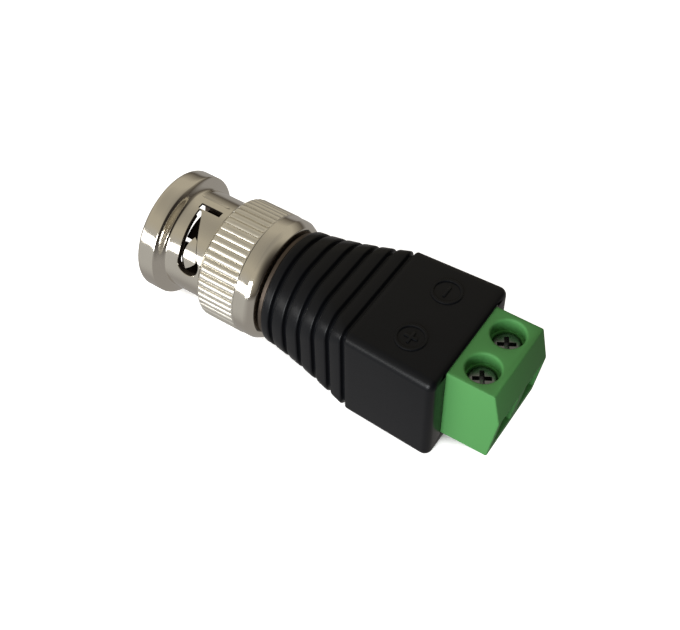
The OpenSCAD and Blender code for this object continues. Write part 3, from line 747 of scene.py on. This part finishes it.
@dataclass
class PlugCore:
    """The turned pieces in the nut: body, sleeve, pin, beads, gasket and bush. Sizes in millimetres."""

    steps: int = 128
    flange_x: float = 9.3
    flange_back: float = 10.5
    flange_r: float = 5.2
    neck_r: float = 4.3
    tail_r: float = 3.5
    body_bore_r: float = 2.5
    bush_x: float = 15.8
    tail_x: float = 22.1
    seat: float = 0.02
    sleeve_r: float = 4.05
    sleeve_root_r: float = 3.85
    sleeve_in_r: float = 3.5
    sleeve_tip_x: float = 3.8
    sleeve_step_x: float = 8.48
    sleeve_back: float = 10.28
    slot_w: float = 0.5
    pin_r: float = 0.675
    pin_tip_x: float = 4.4
    pin_shank_r: float = 1.0
    bead_x: float = 9.38
    bead_back: float = 12.08
    pin_back: float = 23.1
    gasket_x: float = 8.5
    gasket_r: float = 4.87
    stub_r: float = 4.9
    bush_flange_r: float = 6.2
    bush_flange_t: float = 0.55
    stub_back: float = 21.35
    ring_x: float = 13.79
    ring_t: float = 0.6
    groove_r: float = 3.85
    thrust_x: float = 11.64
    thrust_t: float = 0.5
    thrust_r: float = 5.3
    washer_bore_r: float = 4.4

    def body(self) -> bpy.types.Object:
        """Builds the plug body with its flange, neck and tail."""
        seat_x = self.flange_x + 1.0
        seat_r = self.sleeve_root_r + self.seat
        outline = [
            (self.flange_x, seat_r), (self.flange_x, self.flange_r - 0.08),
            (self.flange_x + 0.08, self.flange_r), (self.flange_back - 0.08, self.flange_r),
            (self.flange_back, self.flange_r - 0.08),
            (self.flange_back, self.neck_r), (self.ring_x - self.seat, self.neck_r),
            (self.ring_x - self.seat, self.groove_r), (self.ring_x + self.ring_t + self.seat, self.groove_r),
            (self.ring_x + self.ring_t + self.seat, self.neck_r), (self.bush_x, self.neck_r),
            (self.bush_x, self.tail_r), (self.tail_x - 0.1, self.tail_r), (self.tail_x, self.tail_r - 0.1),
            (self.tail_x, self.body_bore_r), (seat_x, self.body_bore_r), (seat_x, seat_r),
        ]
        piece = turned("plug_body_turned", outline, self.steps)
        return finish_piece(piece, NICKEL, "root", ["plug_body"])

    def bush(self) -> bpy.types.Object:
        """Builds the shoulder bush behind the nut, with its anchoring grooves."""
        stub_x = self.bush_x + self.bush_flange_t
        inner = self.tail_r + self.seat
        outline = [(self.bush_x, inner)]
        outline += [(self.bush_x, self.bush_flange_r - 0.12), (self.bush_x + 0.04, self.bush_flange_r - 0.03)]
        outline += [(self.bush_x + 0.12, self.bush_flange_r), (stub_x - 0.1, self.bush_flange_r)]
        outline += [(stub_x, self.bush_flange_r - 0.1), (stub_x, self.stub_r)]
        for i in (1, 2):
            x = stub_x + (self.stub_back - stub_x) * i / 3
            outline += [(x - 0.3, self.stub_r), (x - 0.3, self.stub_r - 0.35)]
            outline += [(x + 0.3, self.stub_r - 0.35), (x + 0.3, self.stub_r)]
        outline += [(self.stub_back, self.stub_r), (self.stub_back, inner)]
        piece = turned("shoulder_bush_turned", outline, self.steps)
        # The bush takes the dark nickel as painted shade, for the shadow behind the nut's tail.
        return finish_piece(piece, BORE_PAINTED_SHADE, "root", ["shoulder_bush"])

    def sleeve(self) -> bpy.types.Object:
        """Builds the slotted outer contact sleeve."""
        wall = self.sleeve_r - self.sleeve_in_r
        outline = [(self.sleeve_tip_x + 0.08, self.sleeve_in_r), (self.sleeve_tip_x, self.sleeve_in_r + 0.08)]
        outline += arc(self.sleeve_tip_x + 0.2, self.sleeve_r - 0.2, 0.2, 180.0, 90.0, 4)
        outline += [(self.sleeve_step_x, self.sleeve_r), (self.sleeve_step_x, self.sleeve_root_r)]
        outline += [(self.sleeve_back, self.sleeve_root_r), (self.sleeve_back, self.sleeve_in_r)]
        piece = turned("outer_contact_sleeve", outline, self.steps)
        for i in range(4):
            middle = math.radians(45.0 + 90.0 * i)
            across = Vector((0.0, -math.sin(middle), math.cos(middle))) * (self.slot_w / 2.0)
            out = Vector((0.0, math.cos(middle), math.sin(middle)))
            near, far = out * (self.sleeve_in_r - wall), out * (self.sleeve_r + wall)
            rings = []
            for x in (self.sleeve_tip_x - 0.4, self.flange_x - 1.3):
                along = Vector((x, 0.0, 0.0))
                corners = (near - across, far - across, far + across, near + across)
                rings.append([tuple(along + corner) for corner in corners])
            carve(piece, lofted("sleeve_slot_cutter", rings))
        # The sleeve takes the dark nickel as painted shade, for the dark inside seen through the cam slots.
        return finish_piece(piece, SLEEVE_PAINTED_SHADE, "root", ["outer_contact"])

    def pin(self) -> bpy.types.Object:
        """Builds the centre pin with its rounded tip and solder cup."""
        outline: list[Station] = [(self.pin_tip_x, 0.0)]
        outline += arc(self.pin_tip_x + 0.375, 0.3, 0.375, 180.0, 90.0, 8)
        outline += [(self.bead_x + self.seat, self.pin_r), (self.bead_x + self.seat, self.pin_shank_r - 0.05)]
        outline += [(self.bead_x + self.seat + 0.05, self.pin_shank_r), (self.pin_back, self.pin_shank_r)]
        outline += [(self.pin_back, 0.6), (self.pin_back - 2.0, 0.6), (self.pin_back - 2.0, 0.0)]
        piece = turned("centre_pin_turned", outline, 64, closed=False)
        low = (self.pin_back - 0.8, -0.6, 0.0)
        carve(piece, box("cup_cutter", low, (self.pin_back + 0.2, 0.6, self.pin_shank_r + 0.1)))
        return finish_piece(piece, GOLD, "root", ["centre_pin"])

    def beads(self) -> list[bpy.types.Object]:
        """Builds the two insulating beads.

        Returns:
            The front bead and the rear one.
        """
        inner = self.pin_shank_r + self.seat
        head_r = self.sleeve_in_r - self.seat
        spigot_r = self.body_bore_r - self.seat
        front = turned("front_bead_turned", [
            (self.bead_x + 0.04, inner), (self.bead_x, inner + 0.04), (self.bead_x, head_r - 0.06),
            (self.bead_x + 0.06, head_r), (self.sleeve_back, head_r), (self.sleeve_back, spigot_r),
            (self.bead_back, spigot_r), (self.bead_back, inner),
        ], self.steps)
        rear_x = self.tail_x - 5.0
        rear = turned("rear_bead_turned", [
            (rear_x, inner), (rear_x, spigot_r), (self.tail_x - 0.06, spigot_r),
            (self.tail_x, spigot_r - 0.06), (self.tail_x, inner),
        ], self.steps)
        finish_piece(front, WHITE, "root", ["front_insulator"])
        finish_piece(rear, WHITE, "root", ["rear_insulator"])
        return [front, rear]

    def gasket(self) -> bpy.types.Object:
        """Builds the rubber gasket round the sleeve's root."""
        inner = self.sleeve_root_r + self.seat
        back = self.flange_x - self.seat
        outline = [(self.gasket_x + 0.15, inner)]
        outline += arc(self.gasket_x + 0.2, self.gasket_r - 0.2, 0.2, 180.0, 90.0, 5)
        outline += [(back, self.gasket_r), (back, inner)]
        piece = turned("sealing_gasket_turned", outline, self.steps)
        return finish_piece(piece, RUBBER, "root", ["sealing_gasket"])

    def washers(self) -> bpy.types.Object:
        """Builds the thrust washer in front of the nut's lip."""
        x0, x1 = self.thrust_x, self.thrust_x + self.thrust_t
        outline = [(x0, self.washer_bore_r), (x0, self.thrust_r - 0.06), (x0 + 0.06, self.thrust_r)]
        outline += [(x1 - 0.06, self.thrust_r), (x1, self.thrust_r - 0.06), (x1, self.washer_bore_r)]
        piece = turned("thrust_washer_turned", outline, self.steps)
        return finish_piece(piece, SPRING, "nut_carrier", ["thrust_washer"])

    def build(self) -> None:
        """Builds the turned pieces and dresses the pieces that keep the frame's own form."""
        self.body()
        self.bush()
        self.sleeve()
        self.pin()
        self.beads()
        self.gasket()
        self.washers()
        for node, finish in (
            ("wave_washer", SPRING), ("retaining_ring", SPRING), ("solder_lug", TIN),
            ("centre_lead", RED), ("shield_lead", GREY),
        ):
            finish.dress(bpy.data.objects[node])
            log.info("%s dressed", node)


@dataclass
class GripMoulding:
    """The black moulding that turns from a round ribbed neck into a square block. Sizes in millimetres."""

    grip_x: float = 16.4
    neck_r: float = 6.58
    first_groove: float = 17.74
    groove_pitch: float = 1.91
    grooves: int = 6
    groove_w: float = 0.5
    groove_depth: float = 0.5
    rib_round: float = 0.2
    block_x: float = 27.54
    block_back: float = 38.09
    front_half_w: float = 7.22
    back_half_w: float = 7.74
    half_h: float = 6.3
    edge_r: float = 1.1
    back_r: float = 0.9
    square_power: float = 1.45
    corner_steps: int = 18
    pocket_x: float = 34.19
    pocket_half_w: float = 5.13
    pocket_top: float = 5.82
    pocket_bottom: float = 4.51
    hollow_x: float = 25.19
    hollow_half_w: float = 4.3
    hollow_top: float = 4.94
    hollow_bottom: float = 4.045
    hollow_r: float = 5.0
    stub_back: float = 21.35
    stub_r: float = 4.92
    mark_x: float = 33.09
    mark_half_pitch: float = 3.53
    mark_r: float = 1.68
    mark_line: float = 0.3
    mark_h: float = 0.16
    mark_stroke: float = 1.5

    def section(self, x: float, half_w: float, top: float, bottom: float, corner: float) -> Ring:
        """Gives one rounded rectangle across the axis.

        Args:
            x: Its place along the axis.
            half_w: Half its width.
            top: Height of its top above the axis.
            bottom: Depth of its underside below the axis.
            corner: Radius of its corners.

        Returns:
            Its points, from the +Y side over the top.
        """
        points: Ring = []
        for q, (sy, height) in enumerate(((1, top), (-1, top), (-1, -bottom), (1, -bottom))):
            sz = 1 if q < 2 else -1
            for i in range(self.corner_steps + 1):
                a = math.radians(90.0 * (q + i / self.corner_steps))
                y = sy * (half_w - corner) + corner * math.cos(a)
                z = height - sz * corner + corner * math.sin(a)
                points.append((x, y, z))
        return points

    def outer(self, x: float, inset: float) -> Ring:
        """Gives the moulding's outer section at a place.

        Args:
            x: Place along the axis.
            inset: How far the section lies inside the moulding's full form.

        Returns:
            Its points.
        """
        t = min(max((x - self.grip_x) / (self.block_x - self.grip_x), 0.0), 1.0)
        b = min(max((x - self.block_x) / (self.block_back - self.block_x), 0.0), 1.0)
        half_w = self.neck_r + (self.front_half_w - self.neck_r) * t
        half_w += (self.back_half_w - self.front_half_w) * b
        half_h = self.neck_r + (self.half_h - self.neck_r) * t
        round_r = self.neck_r - 0.06
        corner = max(round_r + (self.edge_r - round_r) * t**self.square_power - inset, 0.12)
        return self.section(x, half_w - inset, half_h - inset, half_h - inset, corner)

    def groove(self, x: float) -> list[Station]:
        """Gives the stations across one groove, as pairs of place and inset.

        Args:
            x: Place of the groove's middle.

        Returns:
            The stations.
        """
        g, e, d = self.groove_w / 2.0, self.rib_round, self.groove_depth
        turns = [math.radians(a) for a in (0, 22, 45, 67, 90)]
        edge = [(e * math.sin(a), e * (1.0 - math.cos(a))) for a in turns]
        left = [(x - g - e + along, inset) for along, inset in edge]
        left += [(x - g + 0.03, d - 0.1), (x - g + 0.11, d)]
        right = [(x + g - 0.11, d), (x + g - 0.03, d - 0.1)]
        right += [(x + g + e - along, inset) for along, inset in edge[::-1]]
        return left + right

    def rings(self) -> list[Ring]:
        """Gives every section of the shell, outside from the front and inside from the back.

        Returns:
            The sections in order.
        """
        stations: list[Station] = [(self.grip_x, 0.3), (self.grip_x + 0.04, 0.16), (self.grip_x + 0.14, 0.04)]
        stations += [(self.grip_x + 0.3, 0.0), (self.grip_x + 0.6, 0.0)]
        for i in range(self.grooves):
            x = self.first_groove + i * self.groove_pitch
            stations += self.groove(x)
            if i < self.grooves - 1:
                stations.append((x + self.groove_pitch / 2.0, 0.0))
        last = self.first_groove + (self.grooves - 1) * self.groove_pitch
        stations += [(last + 0.9, 0.0), (last + 2.5, 0.0), (last + 6.0, 0.0)]
        for i in range(9):
            a = math.radians(90.0 * i / 8)
            inset = self.back_r * (1.0 - math.cos(a))
            stations.append((self.block_back - self.back_r * (1.0 - math.sin(a)), inset))
        rings = [self.outer(x, inset) for x, inset in stations]
        w, top, bottom, back = self.pocket_half_w, self.pocket_top, self.pocket_bottom, self.block_back
        rings.append(self.section(back, w + 0.14, top + 0.14, bottom + 0.14, 0.3))
        rings.append(self.section(back - 0.04, w + 0.04, top + 0.04, bottom + 0.04, 0.2))
        rings.append(self.section(back - 0.14, w, top, bottom, 0.15))
        rings.append(self.section(self.pocket_x, w, top, bottom, 0.15))
        w, top, bottom = self.hollow_half_w, self.hollow_top, self.hollow_bottom
        rings.append(self.section(self.pocket_x, w, top, bottom, 0.3))
        rings.append(self.section(self.hollow_x, w, top, bottom, 0.3))
        for x, r in (
            (self.hollow_x - 0.01, self.hollow_r), (self.stub_back, self.hollow_r),
            (self.stub_back, self.stub_r), (self.grip_x, self.stub_r),
        ):
            rings.append(self.section(x, r, r, r, r - 0.01))
        return rings

    def mark(self, pole: Pole) -> bpy.types.Object:
        """Builds one raised ring with a plus or a minus in it.

        Args:
            pole: The pole that it marks.

        Returns:
            The mark.
        """
        r, half, h = self.mark_r, self.mark_line / 2.0, self.mark_h
        outline = [(-0.1, r), (h - 0.05, r), (h, r - 0.06), (h, r - 2 * half + 0.06)]
        outline += [(h - 0.05, r - 2 * half), (-0.1, r - 2 * half)]
        at = (self.mark_x, pole.value * self.mark_half_pitch, self.half_h)
        parts = [lay(turned("mark_ring", outline, 64), Axis.UPRIGHT, at)]
        reach = self.mark_stroke / 2.0
        strokes = [(half, reach)] + ([(reach, half)] if pole is Pole.PLUS else [])
        for i, (dx, dy) in enumerate(strokes):
            top = h - 0.004 * i
            low = (at[0] - dx, at[1] - dy, at[2] - 0.1)
            stroke = box("mark_stroke", low, (at[0] + dx, at[1] + dy, at[2] + top))
            rounded_edges(stroke, 0.05, 2)
            parts.append(stroke)
        return join(f"polarity_mark_{pole.name.lower()}", parts)

    def build(self) -> list[bpy.types.Object]:
        """Builds and dresses the moulding and its marks.

        Returns:
            The shell and the two marks.
        """
        shell = lofted("grip_shell", self.rings(), joined=True)
        finish_piece(shell, BLACK, "root", ["grip_housing"], 38.0)
        marks = [finish_piece(self.mark(pole), BLACK, "root", []) for pole in Pole]
        return [shell, *marks]


@dataclass
class TerminalBlock:
    """The green two-way terminal block with its wells, chambers and wire entries. Sizes in millimetres."""

    pitch: float = 5.08
    term_x: float = 34.24
    nose_x: float = 44.24
    edge_x: float = 43.41
    top: float = 5.77
    bottom: float = 4.46
    nose_z: float = 1.79
    screw_x: float = 40.74
    head_z: float = 4.07
    seat_z: float = 2.77
    ceiling_z: float = 2.17
    floor_z: float = -3.9
    sill_z: float = -2.9
    well_r: float = 1.8
    head_well_r: float = 1.6
    shank_hole_r: float = 1.35
    rim_r: float = 0.25
    chamber_w: float = 3.9
    chamber_len: float = 3.8
    entry_w: float = 3.7
    bar_w: float = 1.9
    bar_z: float = -1.5
    bar_t: float = 0.6

    def well_cutter(self, y: float) -> bpy.types.Object:
        """Builds the cutter of one screw well, with a rounded rim.

        Args:
            y: Place of the screw's axis across the block.

        Returns:
            The cutter.
        """
        outline: list[Station] = [(self.ceiling_z - 0.3, 0.0), (self.ceiling_z - 0.3, self.shank_hole_r)]
        outline += [(self.seat_z, self.shank_hole_r), (self.seat_z, self.head_well_r)]
        outline += [(self.head_z + 0.1, self.head_well_r), (self.head_z + 0.1, self.well_r)]
        for i in range(7):
            a = math.radians(90.0 * i / 6)
            radius = self.well_r + self.rim_r * (1.0 - math.cos(a))
            outline.append((self.top - self.rim_r * (1.0 - math.sin(a)), radius))
        outline[-1] = (self.top + 0.002, outline[-1][1])
        outline += [(self.top + 1.0, self.well_r + self.rim_r), (self.top + 1.0, 0.0)]
        return lay(turned("well_cutter", outline, 72, closed=False), Axis.UPRIGHT, (self.screw_x, y, 0.0))

    def build(self) -> bpy.types.Object:
        """Builds and dresses the housing.

        Returns:
            The housing.
        """
        side = [
            (self.term_x, -self.bottom), (self.edge_x, -self.bottom), (self.nose_x, self.nose_z),
            (self.edge_x, self.top), (self.term_x, self.top),
        ]
        rings = [[(x, y, z) for x, z in side] for y in (-self.pitch, self.pitch)]
        block = lofted("terminal_block_shell", rings)
        rounded_edges(block, 0.16, 3, 12.0)
        for pole in Pole:
            y = pole.value * self.pitch / 2.0
            half_c, half_e, half_b = self.chamber_w / 2.0, self.entry_w / 2.0, self.bar_w / 2.0 + 0.02
            half_l = self.chamber_len / 2.0
            carve(block, self.well_cutter(y))
            low = (self.screw_x - half_l, y - half_c, self.floor_z)
            carve(block, box("chamber_cutter", low, (self.screw_x + half_l, y + half_c, self.ceiling_z)))
            low = (self.screw_x, y - half_e, self.sill_z)
            carve(block, box("entry_cutter", low, (self.nose_x + 1.0, y + half_e, self.nose_z - 0.16)))
            low = (self.term_x - 0.2, y - half_b, self.bar_z - 0.02)
            high = (self.screw_x - 0.2, y + half_b, self.bar_z + self.bar_t + 0.02)
            carve(block, box("bar_cutter", low, high))
        return finish_piece(block, GREEN, "root", ["terminal_housing"])


@dataclass
class Clamps:
    """The clamp screws and their rising cages. Sizes in millimetres."""

    pitch: float = 5.08
    screw_x: float = 40.74
    head_z: float = 4.07
    head_t: float = 1.28
    head_r: float = 1.5
    shank_r: float = 1.2
    shank_end_z: float = -0.75
    thread_pitch: float = 0.45
    thread_depth: float = 0.12
    recess_w: float = 0.5
    recess_len: float = 2.0
    recess_depth: float = 0.8
    recess_turn: float = 30.0
    cage_w: float = 3.5
    cage_len: float = 3.3
    cage_z: float = -3.7
    cage_top: float = 0.4
    window_z: float = -3.1
    window_top: float = -0.8
    cage_wall: float = 0.45

    def thread(self, point: Vector) -> Vector:
        """Presses a point of the plain shank into a helical thread.

        Args:
            point: Its place on the upright shank about the screw's own axis.

        Returns:
            Its place on the thread.
        """
        radius = math.hypot(point.x, point.y)
        top = self.head_z - self.head_t
        if abs(radius - self.shank_r) > 0.01 or not self.shank_end_z + 0.2 < point.z < top - 0.1:
            return point
        turns = point.z / self.thread_pitch - math.atan2(point.y, point.x) / (2.0 * math.pi)
        wave = abs((turns % 1.0) * 2.0 - 1.0)
        scale = (self.shank_r - self.thread_depth * wave) / radius
        return Vector((point.x * scale, point.y * scale, point.z))

    def screw(self) -> bpy.types.Object:
        """Builds one clamp screw about the Z axis.

        Returns:
            The screw.
        """
        under = self.head_z - self.head_t
        outline: list[Station] = [(self.shank_end_z, 0.0), (self.shank_end_z, self.shank_r - 0.2)]
        outline.append((self.shank_end_z + 0.18, self.shank_r))
        outline += evenly(self.shank_end_z + 0.2, under - 0.1, 44, self.shank_r)
        outline += [(under - 0.08, self.shank_r), (under, self.shank_r), (under, self.head_r - 0.05)]
        outline += [(under + 0.05, self.head_r), (self.head_z - 0.2, self.head_r)]
        outline += arc(self.head_z - 0.2, self.head_r - 0.2, 0.2, 90.0, 0.0, 4)[1:]
        outline.append((self.head_z, 0.0))
        piece = lay(turned("clamp_screw", outline, 64, closed=False), Axis.UPRIGHT)
        reshape(piece, self.thread)
        for turn in (0.0, 90.0):
            rings: list[Ring] = []
            spin = Matrix.Rotation(math.radians(self.recess_turn + turn), 4, "Z")
            for z, length, width in (
                (self.head_z - self.recess_depth, self.recess_len - 0.3, self.recess_w - 0.12),
                (self.head_z + 0.1, self.recess_len, self.recess_w + 0.02),
            ):
                half_l, half_w = length / 2.0, width / 2.0
                corners = ((-half_l, -half_w), (half_l, -half_w), (half_l, half_w), (-half_l, half_w))
                rings.append([tuple(spin @ Vector((x, y, z))) for x, y in corners])
            carve(piece, lofted("recess_cutter", rings))
        return piece

    def cage(self) -> bpy.types.Object:
        """Builds one clamp cage about the Z axis.

        Returns:
            The cage.
        """
        half_w, half_l = self.cage_w / 2.0, self.cage_len / 2.0
        piece = box("clamp_cage", (-half_l, -half_w, self.cage_z), (half_l, half_w, self.cage_top))
        inner = half_w - self.cage_wall
        rounded_edges(piece, 0.15, 3)
        low = (-half_l - 1.0, -inner, self.window_z)
        carve(piece, box("window_cutter", low, (half_l + 1.0, inner, self.window_top)))
        hole = [(self.window_top - 0.2, 0.0), (self.window_top - 0.2, 1.25), (self.cage_top + 0.2, 1.25)]
        hole.append((self.cage_top + 0.2, 0.0))
        carve(piece, lay(turned("hole_cutter", hole, 48, closed=False), Axis.UPRIGHT))
        return piece

    def build(self) -> None:
        """Builds the first screw and cage, copies them to the second pole and dresses the bars."""
        masters = ((self.screw(), "clamp_screw", "screw"), (self.cage(), "clamp_cage", "cage"))
        for master, node, body in masters:
            for pole in Pole:
                piece = master.copy()
                piece.data = master.data.copy()
                bpy.context.collection.objects.link(piece)
                piece.name = f"{node}_steel_{pole.number}"
                lay(piece, Axis.ALONG, (self.screw_x, pole.value * self.pitch / 2.0, 0.0))
                finish_piece(piece, ZINC, f"{body}_{pole.number}", [f"{node}_{pole.number}"])
            bpy.data.objects.remove(master)
        for pole in Pole:
            TIN.dress(bpy.data.objects[f"contact_bar_{pole.number}"])
            log.info("contact_bar_%d dressed", pole.number)


# Studio


@dataclass(frozen=True)
class SoftLight:
    """A soft rectangular light: place, width and height in metres, and power in watts."""

    name: str
    at: Point
    size: tuple[float, float]
    power: float
    colour: Colour


@dataclass
class Studio:
    """The floor, the lights, the surroundings and the camera. Sizes in metres, angles in degrees."""

    camera_at: Point = (0.06746, -0.06659, 0.09688)
    yaw: float = 34.163
    pitch: float = 50.568
    roll: float = -0.819
    lens: float = 61.95
    rim_low: Point = (0.001, 0.0, -0.0071)
    block_low: Point = (0.0375, 0.0, -0.0063)
    # Floor glow: even, fading to shade_glow where the floor is sheltered, a painted contact shadow.
    floor_glow: float = 0.95
    shade_glow: float = 0.02
    shelter: float = 0.012
    sheltered: float = 0.12
    open_floor: float = 0.32
    upper: Colour = (0.5, 0.46, 0.375)
    zenith: Colour = (0.3, 0.28, 0.24)
    skirting: Colour = (0.1, 0.085, 0.07)
    below: Colour = (0.34, 0.325, 0.31)
    apron: Colour = (0.5, 0.49, 0.47)
    apron_towards: Point = (-0.48, -0.85, -0.22)
    shade: Colour = (0.03, 0.025, 0.022)
    shade_towards: Point = (0.93, -0.12, 0.34)
    apron_start: float = 0.62
    shade_start: float = 0.55
    glow_full: float = 0.96
    middle: Point = (0.022, 0.0, 0.0)
    lights: tuple[SoftLight, ...] = (
        SoftLight("low_window", (-0.221, -0.3825, 0.08), (0.3, 0.12), 0.45, (1.0, 0.99, 0.965)),
        SoftLight("side_fill", (0.056, -0.403, 0.105), (0.2, 0.2), 1.55, (0.95, 0.98, 1.0)),
    )

    def floor(self) -> bpy.types.Object:
        """Builds the pale floor under the rim and the block, whose glow fades near the object as a painted
        contact shadow.
        """
        clear_bench()
        bpy.ops.mesh.primitive_plane_add(size=3.0)
        floor = bpy.context.object
        floor.name = "studio_floor"
        slope = math.atan2(self.block_low[2] - self.rim_low[2], self.block_low[0] - self.rim_low[0])
        floor.rotation_euler = (0.0, -slope, 0.0)
        floor.location = (self.rim_low[0], 0.0, self.rim_low[2] - 0.00002)
        mat = bpy.data.materials.new("studio_floor")
        mat.use_nodes = True
        nodes, links = mat.node_tree.nodes, mat.node_tree.links
        shader = nodes["Principled BSDF"]
        preset(shader, Base_Color=(0.92, 0.92, 0.92, 1.0), Roughness=0.9, Specular_IOR_Level=0.1)
        preset(shader, Emission_Color=(1.0, 1.0, 1.0, 1.0))
        # Painted shadow: the floor's glow fades where the object shelters it, a contact shadow under the nut
        # and the block.
        shelter = nodes.new("ShaderNodeAmbientOcclusion")
        shelter.samples = 12
        preset(shelter, Distance=self.shelter)
        painted_contact_shadow = nodes.new("ShaderNodeMapRange")
        painted_contact_shadow.interpolation_type = "SMOOTHSTEP"
        preset(painted_contact_shadow, From_Min=self.sheltered, From_Max=self.open_floor)
        preset(painted_contact_shadow, To_Min=self.shade_glow, To_Max=self.floor_glow)
        links.new(shelter.outputs["AO"], painted_contact_shadow.inputs["Value"])
        links.new(painted_contact_shadow.outputs["Result"], shader.inputs["Emission Strength"])
        floor.data.materials.append(mat)
        floor.visible_diffuse = False
        floor.visible_glossy = False
        return floor

    def light(self, soft: SoftLight) -> None:
        """Adds one soft rectangular light that points at the object's middle.

        Args:
            soft: The light.
        """
        data = bpy.data.lights.new(soft.name, "AREA")
        data.shape = "RECTANGLE"
        data.size, data.size_y = soft.size
        data.energy = soft.power
        data.color = soft.colour
        lamp = bpy.data.objects.new(soft.name, data)
        lamp.location = soft.at
        lamp.rotation_euler = (Vector(soft.at) - Vector(self.middle)).to_track_quat("Z", "Y").to_euler()
        bpy.context.collection.objects.link(lamp)

    def surroundings(self) -> None:
        """Paints the warm room round the object, which the nickel reflects."""
        world = bpy.data.worlds.new("studio_room")
        bpy.context.scene.world = world
        world.use_nodes = True
        nodes, links = world.node_tree.nodes, world.node_tree.links
        back = nodes["Background"]
        place = nodes.new("ShaderNodeTexCoord")
        split = nodes.new("ShaderNodeSeparateXYZ")
        links.new(place.outputs["Generated"], split.inputs["Vector"])
        ramp = nodes.new("ShaderNodeValToRGB")
        ramp.color_ramp.elements[0].position = 0.0
        ramp.color_ramp.elements[0].color = (*self.below, 1.0)
        ramp.color_ramp.elements[1].position = 1.0
        ramp.color_ramp.elements[1].color = (*self.zenith, 1.0)
        bands = ((0.42, self.below), (0.5, self.skirting), (0.72, self.upper), (0.85, self.upper))
        for position, colour in bands:
            element = ramp.color_ramp.elements.new(position)
            element.color = (*colour, 1.0)
        spread = nodes.new("ShaderNodeMapRange")
        preset(spread, From_Min=-1.0, From_Max=1.0)
        links.new(split.outputs["Z"], spread.inputs["Value"])
        links.new(spread.outputs["Result"], ramp.inputs["Fac"])
        painted = ramp.outputs["Color"]
        glows = (
            (self.apron_towards, self.apron, self.apron_start),
            (self.shade_towards, self.shade, self.shade_start),
        )
        for towards, colour, start in glows:
            near = nodes.new("ShaderNodeVectorMath")
            near.operation = "DOT_PRODUCT"
            near.inputs[1].default_value = Vector(towards).normalized()
            links.new(place.outputs["Generated"], near.inputs[0])
            glow = nodes.new("ShaderNodeMapRange")
            glow.interpolation_type = "SMOOTHSTEP"
            preset(glow, From_Min=start, From_Max=self.glow_full)
            links.new(near.outputs["Value"], glow.inputs["Value"])
            mix = nodes.new("ShaderNodeMix")
            mix.data_type = "RGBA"
            preset(mix, B=(*colour, 1.0))
            links.new(glow.outputs["Result"], mix.inputs["Factor"])
            links.new(painted, mix.inputs["A"])
            painted = mix.outputs["Result"]
        links.new(painted, back.inputs["Color"])

    def camera(self) -> bpy.types.Object:
        """Places the camera where the photograph was taken from.

        Returns:
            The camera.
        """
        yaw, pitch, roll = (math.radians(a) for a in (self.yaw, self.pitch, self.roll))
        back = Vector((math.sin(yaw) * math.cos(pitch), -math.cos(yaw) * math.cos(pitch), math.sin(pitch)))
        right = Vector((math.cos(yaw), math.sin(yaw), 0.0))
        up = back.cross(right)
        across = right * math.cos(roll) + up * math.sin(roll)
        upright = up * math.cos(roll) - right * math.sin(roll)
        data = bpy.data.cameras.new("photo_camera")
        data.sensor_fit = "HORIZONTAL"
        data.sensor_width = 36.0
        data.lens = self.lens
        data.clip_start = 0.005
        data.clip_end = 20.0
        cam = bpy.data.objects.new("photo_camera", data)
        turn = Matrix((across, upright, back)).transposed().to_4x4()
        cam.matrix_world = Matrix.Translation(self.camera_at) @ turn
        bpy.context.collection.objects.link(cam)
        bpy.context.scene.camera = cam
        return cam

    def build(self) -> None:
        """Sets up the whole studio."""
        self.floor()
        for soft in self.lights:
            self.light(soft)
        self.surroundings()
        self.camera()
        bpy.context.scene.view_settings.view_transform = "Standard"
        log.info("studio set up")


def main() -> None:
    """Builds the adapter and its studio, and reports each piece."""
    logging.basicConfig(level=logging.INFO, format="%(name)s: %(message)s")
    CouplingNut().build()
    PlugCore().build()
    GripMoulding().build()
    TerminalBlock().build()
    Clamps().build()
    Studio().build()


if __name__ == "__main__":
    main()
